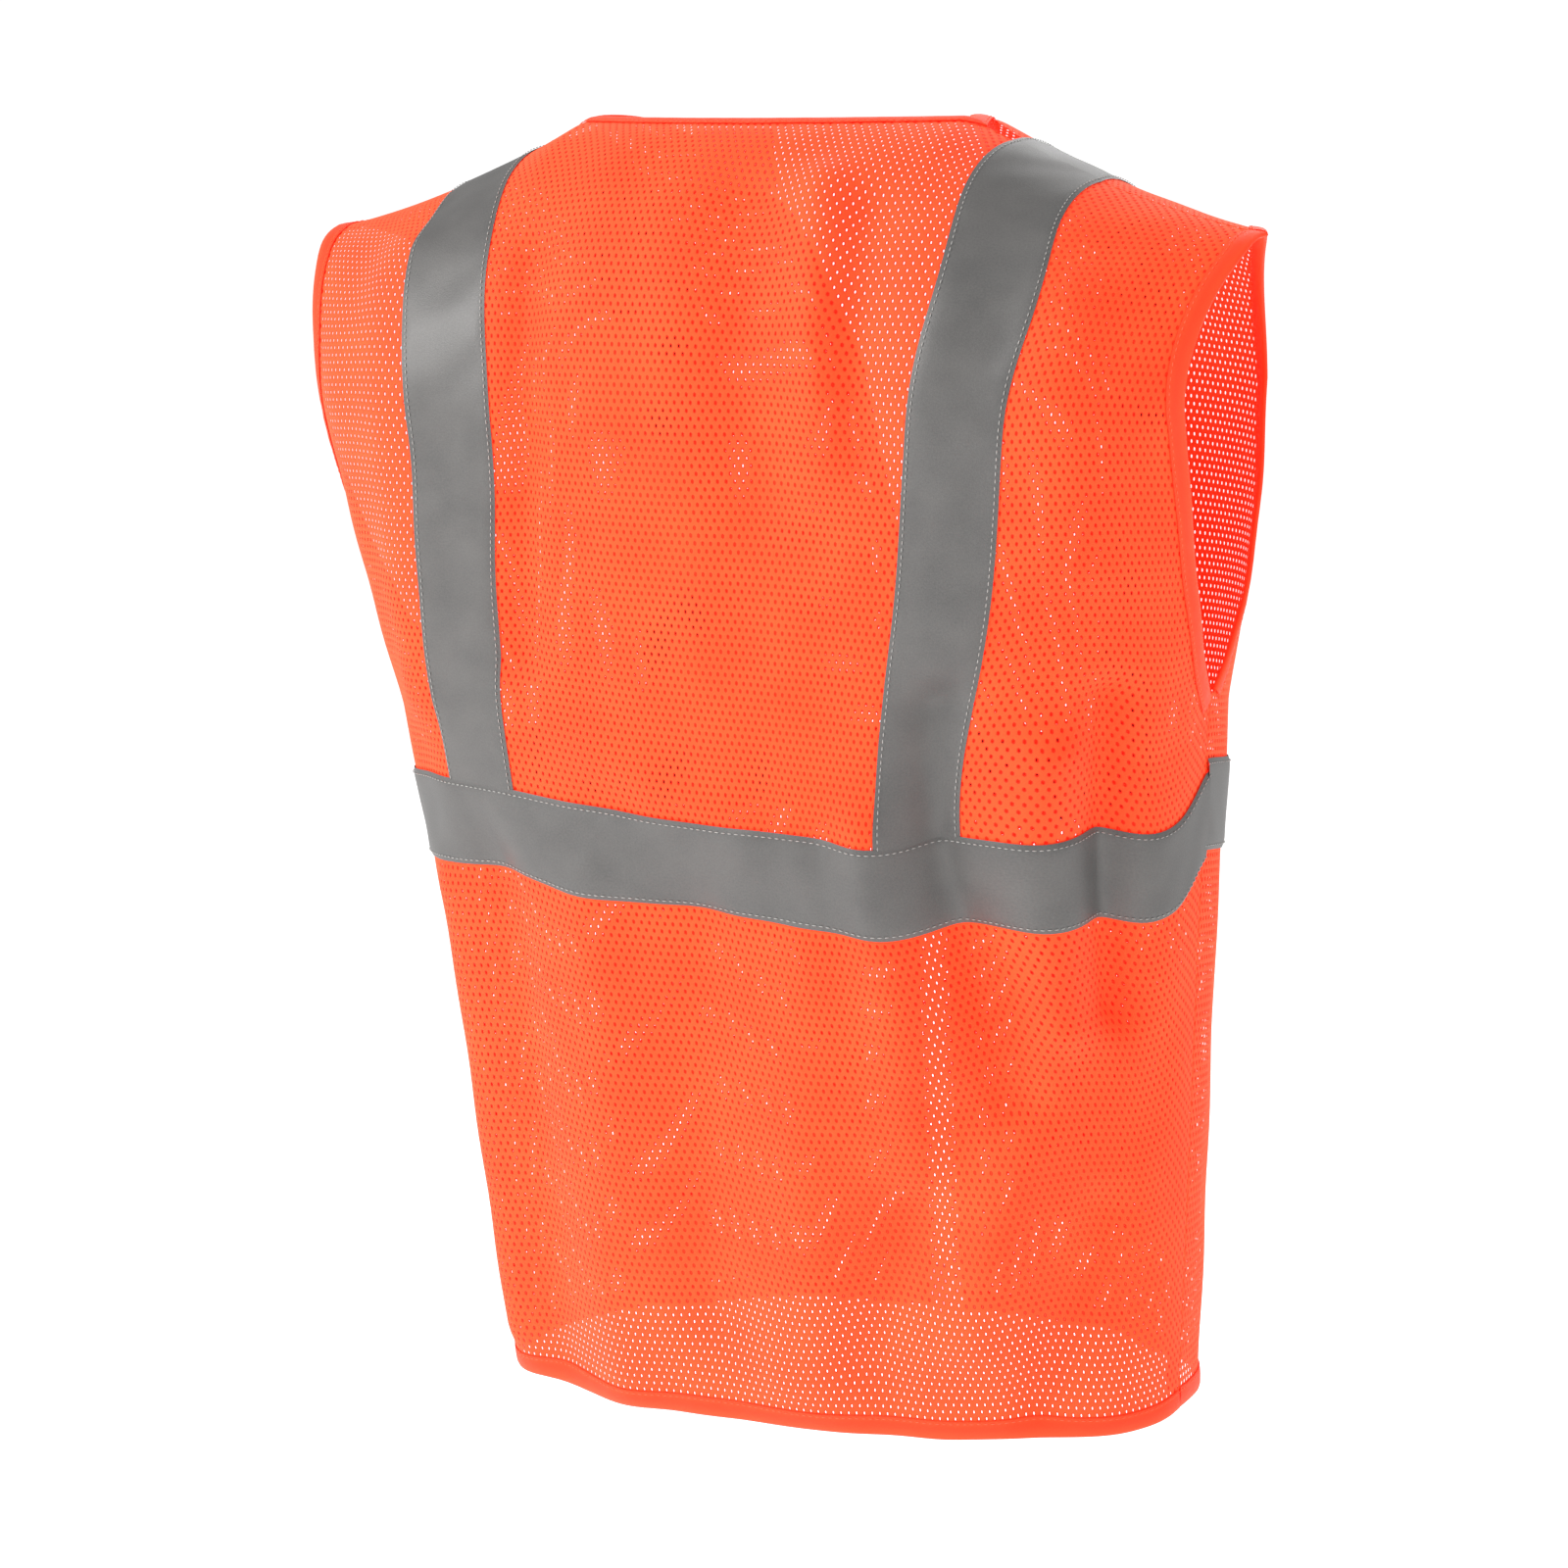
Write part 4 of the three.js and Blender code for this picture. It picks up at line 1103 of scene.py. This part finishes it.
def makeBack():
    sideAcross, sideUp = sideEdges["back"]
    wide = sideAcross.max()

    def acrossLimits(up):
        reach = np.interp(up, sideUp, sideAcross)
        return -reach, reach

    def upLimits(across):
        return np.full_like(across, hemEdge), topOf("back", across)

    span = (-wide, wide, 0, knit["topRow"]["back"])
    plain = lambda across, up: underBand("back", across, up)
    panel = knitPiece("backPanelKnit", "back", span, acrossLimits, upLimits, plain)
    keep(panel, "back", "mesh_fabric", "back_panel")
    for name, side in (("right", -1), ("left", 1)):
        upright = uprightBand("backUprightBand" + name.title(), "back", side)
        keep(upright, "back", "reflective_tape", "shoulder_band_back_" + name)
    waist = waistBand("backWaistBand", "back", None, None)
    keep(waist, "back", "reflective_tape", "waist_band_back")
    neck = np.linspace(-neckReach, neckReach, 61)
    ends = [("start", seamWay("back", -neckReach, -1)), ("end", seamWay("back", neckReach, 1))]
    bound = bindEdge("backNeckBinding", "back", neck, topOf("back", neck), -1, "backStitches", ends)
    keep(bound, "back", "edge_binding", "neck_binding_back")
    hem = np.linspace(-1, 1, 120) * np.interp(hemEdge, sideUp, sideAcross)
    bound = bindEdge("backHemBinding", "back", hem, np.full_like(hem, hemEdge), 1, "backStitches")
    keep(bound, "back", "edge_binding", "hem_binding_back")
    armhole = edgeLevels >= underarmLevel
    for name, side in (("right", -1), ("left", 1)):
        across, up = side * sideAcross[armhole], sideUp[armhole]
        ends = [("end", seamWay("back", across[-1], -side))]
        title = name.title()
        bound = bindEdge("backArmholeBinding" + title, "back", across, up, side, "backStitches", ends)
        keep(bound, "back", "edge_binding", "armhole_binding_back_" + name)
    return panel


# Seam allowances: overlocked edges folded flat against the inside of the back.
allowance = {"width": 12, "lift": -1.5, "shoulder": (128, 273), "sideFoot": 14}


def makeAllowances():
    for name, side in (("right", -1), ("left", 1)):
        columns, rows = np.linspace(*allowance["shoulder"], 50), np.linspace(0, 1, 6)
        share, across = np.meshgrid(rows, side * columns, indexing="ij")
        top = topOf("back", across) - 0.6
        frill = 0.5 * np.sin(across * 0.9)
        up = top - (1 - share) * (allowance["width"] + frill)
        lift = allowance["lift"] - 0.5 * (1 - share) + 0.25 * np.sin(across * 0.45) * (1 - share)
        title = name.title()
        strip = clothGrid("shoulderAllowance" + title, "back", across, up, lift, "binding", inside=True)
        keep(strip, "back", "edge_binding", "shoulder_seam_allowance_" + name)
        heights = np.linspace(allowance["sideFoot"], band["waistTop"], 90)
        up, share = np.meshgrid(heights, rows, indexing="ij")
        reach = np.interp(up, sideEdges["back"][1], sideEdges["back"][0]) - 0.6
        across = side * (reach - (1 - share) * (allowance["width"] + 0.5 * np.sin(up * 0.9)))
        lift = allowance["lift"] - 0.4 * (1 - share) + 0.25 * np.sin(up * 0.45) * (1 - share)
        strip = clothGrid("sideAllowance" + title, "back", across, up, lift, "binding", inside=side > 0)
        keep(strip, "back", "edge_binding", "side_seam_allowance_" + name)


# Fronts: each reaches from the zipper and the neck edge to the side seam, and a little past it inside the
# back, so that the seam stays closed when the front opens.
sideLap = {"width": 4, "lift": -1.2, "end": (20, 6)}  # it runs out between these below the underarm


def makeFrontPanel(name, side):
    sideAcross, sideUp = sideEdges["front"]
    openAcross, openUp = openingEdge
    underarm = upAt("front", garment["underarmHalfWidth"], underarmLevel)
    lapStart, lapEnd = (underarm - below for below in sideLap["end"])

    def seamAt(up):
        return np.interp(up, sideUp, sideAcross)

    def acrossLimits(up):
        lap = sideLap["width"] * (1 - smoothStep(up, lapStart, lapEnd))
        inner, outer = np.interp(up, openUp, openAcross), seamAt(up) + lap
        return (inner, outer) if side > 0 else (-outer, -inner)

    def tuckedIn(across, up):
        return sideLap["lift"] * smoothStep(np.abs(across) - seamAt(up), -1, 2)

    def upLimits(across):
        return np.full_like(across, hemEdge), topOf("front", across)

    wide = sideAcross.max() + sideLap["width"]
    top = knit["topRow"]["front"]
    span = (0, wide, 0, top) if side > 0 else (-wide, 0, 0, top)
    edge = garment["panelEdge"] + garment["turnedUnder"]
    plain = lambda across, up: np.abs(across) < edge
    title = "frontPanelKnit" + name.title()
    panel = knitPiece(title, "front", span, acrossLimits, upLimits, plain, tuckedIn)
    return keep(panel, "front_" + name, "mesh_fabric", "front_panel_" + name)


def makeFrontBands(name, side):
    body, title = "front_" + name, name.title()
    upright = uprightBand("frontUprightBand" + title, "front", side, band["overSeam"])
    keep(upright, body, "reflective_tape", "shoulder_band_front_" + name)
    low, high = (garment["panelEdge"], None) if side > 0 else (None, -garment["panelEdge"])
    waist = waistBand("frontWaistBand" + title, "front", low, high)
    keep(waist, body, "reflective_tape", "waist_band_front_" + name)


def bindFront(name, side):
    body, title = "front_" + name, name.title()
    group = stitchGroups[body]
    sideAcross, sideUp = sideEdges["front"]
    openAcross, openUp = openingEdge
    neck = openUp > garment["zipperTop"] + 1
    across, up = side * openAcross[neck], openUp[neck]
    ends = [("end", seamWay("front", side * neckReach, side))]
    bound = bindEdge("frontNeckBinding" + title, "front", across, up, -side, group, ends)
    keep(bound, body, "edge_binding", "neck_binding_front_" + name)
    hem = side * np.linspace(garment["panelEdge"], np.interp(hemEdge, sideUp, sideAcross), 60)
    bound = bindEdge("frontHemBinding" + title, "front", hem, np.full_like(hem, hemEdge), side, group)
    keep(bound, body, "edge_binding", "hem_binding_" + name)
    armhole = edgeLevels >= underarmLevel
    across, up = side * sideAcross[armhole], sideUp[armhole]
    ends = [("end", seamWay("front", across[-1], -side))]
    bound = bindEdge("frontArmholeBinding" + title, "front", across, up, side, group, ends)
    keep(bound, body, "edge_binding", "armhole_binding_front_" + name)


# Two rows of stitches hold each front's edge on its zipper tape.
zipperSeam = {"foot": 14, "belowTop": 4, "insets": (2.5, 6), "lift": 0.25}


def sewZipper(name, side):
    heights = np.linspace(zipperSeam["foot"], garment["zipperTop"] - zipperSeam["belowTop"], 120)
    for inset in zipperSeam["insets"]:
        line = np.full_like(heights, side * (garment["panelEdge"] + inset))
        points = place("front", line, heights, zipperSeam["lift"])
        sewRun(stitchGroups["front_" + name], "orangeThread", points)


def makeFront(name, side):
    panel = makeFrontPanel(name, side)
    makeFrontBands(name, side)
    bindFront(name, side)
    sewZipper(name, side)
    return panel


# Patch pockets, sewn round three sides, with a bound mouth that stands a little open.
pocketSizes = {
    "chest": {"inner": 30, "width": 78, "bottom": 368, "height": 100},
    "lower": {"inner": 48, "width": 150, "bottom": 62, "height": 165},
}
pocketCloth = {
    "lift": 1.3,
    "puff": 2.2,
    "turnedUnder": 6,
    "knitBelowTop": 4,
    "mouthBelowTop": 0.8,
    # distance down from the mouth's edge, and lift off the patch
    "mouth": [(10, -0.4), (9.5, 0.2), (6, 0.7), (2, 0.8), (0, 0.3), (-0.6, -0.4), (0, -0.9), (6, -0.9)],
    "seamIn": 2.5,
    "seamBelowTop": 8,
    "mouthSeam": 8.2,
}


def makePocket(kind, name):
    pocket, cloth, body = pocketSizes[kind], pocketCloth, "front_" + name
    inner, width = pocket["inner"], pocket["width"]
    bottom, top = pocket["bottom"], pocket["bottom"] + pocket["height"]
    low, high = (inner, inner + width) if name == "left" else (-inner - width, -inner)
    title, node = kind + "Pocket" + name.title(), kind + "_pocket_" + name

    def bulge(across, up):
        sides = np.clip((across - low) * (high - across) / (width / 2) ** 2, 0, 1) ** 0.5
        rise = np.clip((up - bottom) / (top - bottom), 0, 1) ** 0.6
        return cloth["lift"] + cloth["puff"] * sides * rise

    def acrossLimits(up):
        return np.full_like(up, low), np.full_like(up, high)

    def upLimits(across):
        return np.full_like(across, bottom), np.full_like(across, top - cloth["knitBelowTop"])

    def plain(across, up):
        edge = cloth["turnedUnder"]
        return (across < low + edge) | (across > high - edge) | (up < bottom + edge)

    span = (low, high, bottom, top)
    patch = knitPiece(title + "Knit", "front", span, acrossLimits, upLimits, plain, bulge)
    keep(patch, body, "mesh_fabric", node)
    columns = np.linspace(low, high, 40)
    down, lifts = np.array(cloth["mouth"], float).T
    drop, across = np.meshgrid(down, columns, indexing="ij")
    up = top - cloth["mouthBelowTop"] - drop
    lift = bulge(across, up) + lifts[:, None]
    mouth = clothGrid(title + "Binding", "front", across, up, lift, "binding")
    keep(mouth, body, "edge_binding", node + "_binding")
    group = stitchGroups[body]
    left, right, foot = low + cloth["seamIn"], high - cloth["seamIn"], bottom + cloth["seamIn"]
    head = top - cloth["seamBelowTop"]
    a, u = evenly(np.array([left, left, right, right]), np.array([head, foot, foot, head]))
    sewRun(group, "orangeThread", place("front", a, u, bulge(a, u) + 0.2))
    line = np.linspace(low + 1, high - 1, 40)
    height = np.full_like(line, top - cloth["mouthBelowTop"] - cloth["mouthSeam"])
    sewRun(group, "orangeThread", place("front", line, height, bulge(line, height) + 0.6))


backPanel = makeBack()
makeAllowances()
print("back made")
frontPanels = {name: makeFront(name, side) for name, side in (("right", -1), ("left", 1))}
for kind, name in (("chest", "left"), ("lower", "right"), ("lower", "left")):
    makePocket(kind, name)
print("fronts made")


# Zipper: on each side a woven tape and a row of coil loops, and the slider with its tab on the left.
zipper = {
    "loopPitch": 2.0,
    "loopWidth": 3.3,
    "loopDepth": 2.5,
    "loopHeight": 1.45,
    "firstLoop": 0.001,  # the rest are in metres
    "lastLoop": 0.0008,
    "tapeThickness": 0.0005,
    "cordWidth": 0.0012,
    "weave": 0.00008,
}


def settle(piece, node, body):
    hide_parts(node)
    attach(piece, body)
    return piece


def coilTree():
    tree, given = startTree("zipper coil", ["Pitch", "Width", "Depth", "Height"])
    curve = addNode(tree, "GeometryNodeMeshToCurve", links={"Mesh": given.outputs["Geometry"]})
    links = {"Curve": curve.outputs[0], "Length": given.outputs["Pitch"]}
    run = addNode(tree, "GeometryNodeResampleCurve", links=links, mode="LENGTH")
    loop = addNode(tree, "GeometryNodeMeshUVSphere", {"Segments": 10, "Rings": 6, "Radius": 0.5})
    sizes = {0: given.outputs["Width"], 1: given.outputs["Depth"], 2: given.outputs["Height"]}
    size = addNode(tree, "ShaderNodeCombineXYZ", links=sizes)
    slant = {"Rotation": (0.0, 0.18, 0.0)}
    links = {"Points": run.outputs[0], "Instance": loop.outputs[0], "Scale": size.outputs[0]}
    placed = addNode(tree, "GeometryNodeInstanceOnPoints", slant, links)
    endTree(tree, placed.outputs[0], given)
    return tree


zipperCoil = coilTree()


def makeCoil(name):
    low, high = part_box("zipper_teeth_" + name)
    x, y = (low[0] + high[0]) / 2, (low[1] + high[1]) / 2
    mesh = bpy.data.meshes.new("zipperCoil" + name.title())
    ends = [(x, y, low[2] + zipper["firstLoop"]), (x, y, high[2] - zipper["lastLoop"])]
    mesh.from_pydata(ends, [(0, 1)], [])
    coil = addObject(mesh.name, mesh, "coil")
    values = {
        "Pitch": zipper["loopPitch"] / 1000,
        "Width": zipper["loopWidth"] / 1000,
        "Depth": zipper["loopDepth"] / 1000,
        "Height": zipper["loopHeight"] / 1000,
        "Material": finishes["coil"],
    }
    runTree(coil, zipperCoil, values)
    coil.data.shade_smooth()
    return settle(coil, "zipper_teeth_" + name, "front_" + name)


# The tape is thin, with a faint weave, and bulges over the cord along its inner edge.
def makeTape(name):
    low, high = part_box("zipper_tape_" + name)
    columns, rows = np.linspace(low[0], high[0], 12), np.linspace(low[2], high[2], 120)
    z, x = np.meshgrid(rows, columns, indexing="ij")
    middle = (low[1] + high[1]) / 2
    fromEdge = np.abs(x) - min(abs(low[0]), abs(high[0]))
    cord = zipper["tapeThickness"] * np.exp(-((fromEdge / zipper["cordWidth"]) ** 2))
    y = middle - cord + zipper["weave"] * np.sin(z * 900)
    points = np.stack([x.ravel(), y.ravel(), z.ravel()], 1)
    mesh = gridMesh("zipperTape" + name.title(), points, *x.shape)
    tape = addObject(mesh.name, mesh, "zipperTape")
    wall = tape.modifiers.new("thickness", "SOLIDIFY")
    wall.thickness = zipper["tapeThickness"]
    wall.offset = 0
    return settle(tape, "zipper_tape_" + name, "front_" + name)


# A cast or stamped metal part: the frame's shape with its edges rounded.
def metalPart(name, node, body, edge=0.22):
    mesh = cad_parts[node].data.copy()
    part = addObject(name, mesh, "metal")
    merge = part.modifiers.new("merge", "WELD")
    merge.merge_threshold = 0.00001
    bevel = part.modifiers.new("edges", "BEVEL")
    bevel.width = edge / 1000
    bevel.segments = 3
    bevel.limit_method = "ANGLE"
    bevel.angle_limit = math.radians(40)
    bakeTree(part)
    mesh = part.data
    mesh.shade_smooth()
    mesh.set_sharp_from_angle(angle=math.radians(50))
    return settle(part, node, body)


zipperPieces = {name: [makeCoil(name), makeTape(name)] for name in ("right", "left")}
zipperPieces["right"].append(metalPart("insertionPin", "zipper_insertion_pin", "front_right"))
zipperPieces["left"].append(metalPart("retainerBox", "zipper_retainer_box", "front_left", edge=0.6))
for name in ("right", "left"):
    stop = metalPart("topStop" + name.title(), "zipper_top_stop_" + name, "front_" + name, edge=0.5)
    zipperPieces[name].append(stop)
metalPart("sliderBody", "zipper_slider", "slider", edge=0.3)
metalPart("pullTab", "zipper_pull_tab", "pull_tab", edge=0.3)
print("zipper made")


# Neck label: a short loop of blank woven ribbon, sewn by its top edge under the back neck.
def makeLabel():
    low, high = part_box("neck_label")
    columns, rows = np.linspace(low[0], high[0], 24), np.linspace(0, 1, 40)
    share, x = np.meshgrid(rows, columns, indexing="ij")
    # front leaf down, round the fold at the foot, back leaf up
    turn = np.clip(np.abs(share - 0.5) / 0.5, 0, 1)
    z = mix(low[2] + 0.0006, high[2] - 0.0002, turn)
    thick = 0.0007 * np.sqrt(np.clip(1 - (1 - np.clip(turn * 12, 0, 1)) ** 2, 0, 1))
    y = (low[1] + high[1]) / 2 + np.where(share < 0.5, -1, 1) * thick / 2
    curl = 0.0022 * (1 - turn) ** 2 * (1 + 0.3 * np.sin(x * 90))
    y = y - curl
    points = np.stack([x.ravel(), y.ravel(), z.ravel()], 1)
    label = addObject("neckLabel", gridMesh("neckLabel", points, *x.shape), "label")
    line = np.linspace(low[0] + 0.001, high[0] - 0.001, 30)
    flat = np.stack([line, np.full_like(line, low[1] - 0.0001), np.full_like(line, high[2] - 0.002)], 1)
    sewRun("backStitches", "orangeThread", flat)
    return label


keep(makeLabel(), "back", "neck_label", "neck_label")
sewn = sewAll()
for body, group in stitchGroups.items():
    for thread in sewn[group]:
        pieces[body].append(thread)
print("stitched")


for piece in pieces["back"]:
    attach(piece, "back")
for name in ("right", "left"):
    for piece in pieces["front_" + name]:
        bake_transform(piece)


# Studio: a pale seamless floor well below the hem, a large soft key from the upper left and a fill.
studio = {
    "floor": -1.15,
    "floorHalfWidth": 60,
    "keyPower": 95,
    "fillPower": 10,
    "frontPower": 30,
    "topPower": 8,
    "worldLight": 0.5,
    "middle": (0, 0, -0.36),
}


def makeFloor():
    wide, low = studio["floorHalfWidth"], studio["floor"]
    corners = [(-wide, -wide, low), (wide, -wide, low), (wide, wide, low), (-wide, wide, low)]
    mesh = bpy.data.meshes.new("studioFloor")
    mesh.from_pydata(corners, [], [(0, 1, 2, 3)])
    material, tree = startMaterial("matt studio floor")
    where = {"Vector": addNode(tree, "ShaderNodeTexCoord").outputs["Object"]}
    dust = addNode(tree, "ShaderNodeTexNoise", {"Scale": 3.0, "Detail": 3}, where)
    tone = addNode(
        tree,
        "ShaderNodeMix",
        {6: toLinear("F4F4F4"), 7: toLinear("FAFAFA")},
        {0: dust.outputs["Fac"]},
        data_type="RGBA",
    )
    values = {"Roughness": 0.95, "Emission Color": toLinear("FFFFFF"), "Emission Strength": 0.6}
    finishMaterial(tree, values, {"Base Color": tone.outputs[2]})
    mesh.materials.append(material)
    floor = bpy.data.objects.new("studioFloor", mesh)
    bpy.context.scene.collection.objects.link(floor)


# The backdrop is white to look at, and lights the vest less strongly.
def makeBackdrop():
    world = bpy.data.worlds.new("softStudio")
    world.use_nodes = True
    tree = world.node_tree
    tree.nodes.clear()
    looking = {0: addNode(tree, "ShaderNodeLightPath").outputs["Is Camera Ray"]}
    shares = {1: 1 - studio["worldLight"], 2: studio["worldLight"]}
    seen = addNode(tree, "ShaderNodeMath", shares, looking, operation="MULTIPLY_ADD")
    backdrop = addNode(tree, "ShaderNodeBackground", {"Color": (1, 1, 1, 1)}, {"Strength": seen.outputs[0]})
    addNode(tree, "ShaderNodeOutputWorld", links={"Surface": backdrop.outputs[0]})
    bpy.context.scene.world = world


def makeLights():
    middle = Vector(studio["middle"])
    lights = [
        ("keyLight", (2.2, 2.3, 1.5), 1.3, studio["keyPower"]),
        ("fillLight", (-2.6, 1.6, 0.4), 1.6, studio["fillPower"]),
        ("frontLight", (0.3, -2.8, 1.2), 1.8, studio["frontPower"]),
        ("topLight", (0, 0.3, 2.4), 1.6, studio["topPower"]),
    ]
    for name, spot, size, power in lights:
        light = bpy.data.lights.new(name, "AREA")
        light.size = size
        light.energy = power
        lamp = bpy.data.objects.new(name, light)
        lamp.location = spot
        lamp.rotation_euler = (middle - Vector(spot)).to_track_quat("-Z", "Y").to_euler()
        bpy.context.scene.collection.objects.link(lamp)


# Camera behind the wearer's left shoulder, a little above, with a slight roll.
view = {
    "away": 3.001,
    "turn": 26.29,
    "height": 0.2629,
    "aim": -0.3667,
    "aside": -0.0201,
    "roll": -2.6,
    "lens": 127.67,
}


def makeCamera():
    turn, roll = math.radians(view["turn"]), math.radians(view["roll"])
    aside = Vector((-math.cos(turn), -math.sin(turn), 0)) * view["aside"]
    centre = Vector((0, hemToOrigin[1] / 1000, 0))
    eye = centre + Vector((-math.sin(turn), math.cos(turn), 0)) * view["away"] + aside
    eye.z = view["height"]
    aim = centre + aside
    aim.z = view["aim"]
    forward = (aim - eye).normalized()
    right = forward.cross(Vector((0, 0, 1))).normalized()
    up = right.cross(forward)
    tilted = right * math.cos(roll) + up * math.sin(roll)
    upright = up * math.cos(roll) - right * math.sin(roll)
    data = bpy.data.cameras.new("camera")
    data.lens = view["lens"]
    data.sensor_width = 36
    data.clip_end = 200
    camera = bpy.data.objects.new("camera", data)
    turned = Matrix((tilted, upright, -forward)).transposed().to_4x4()
    camera.matrix_world = Matrix.Translation(eye) @ turned
    bpy.context.scene.collection.objects.link(camera)
    bpy.context.scene.camera = camera


makeFloor()
makeBackdrop()
makeLights()
makeCamera()
bpy.context.scene.view_settings.view_transform = "Standard"
print("studio ready")
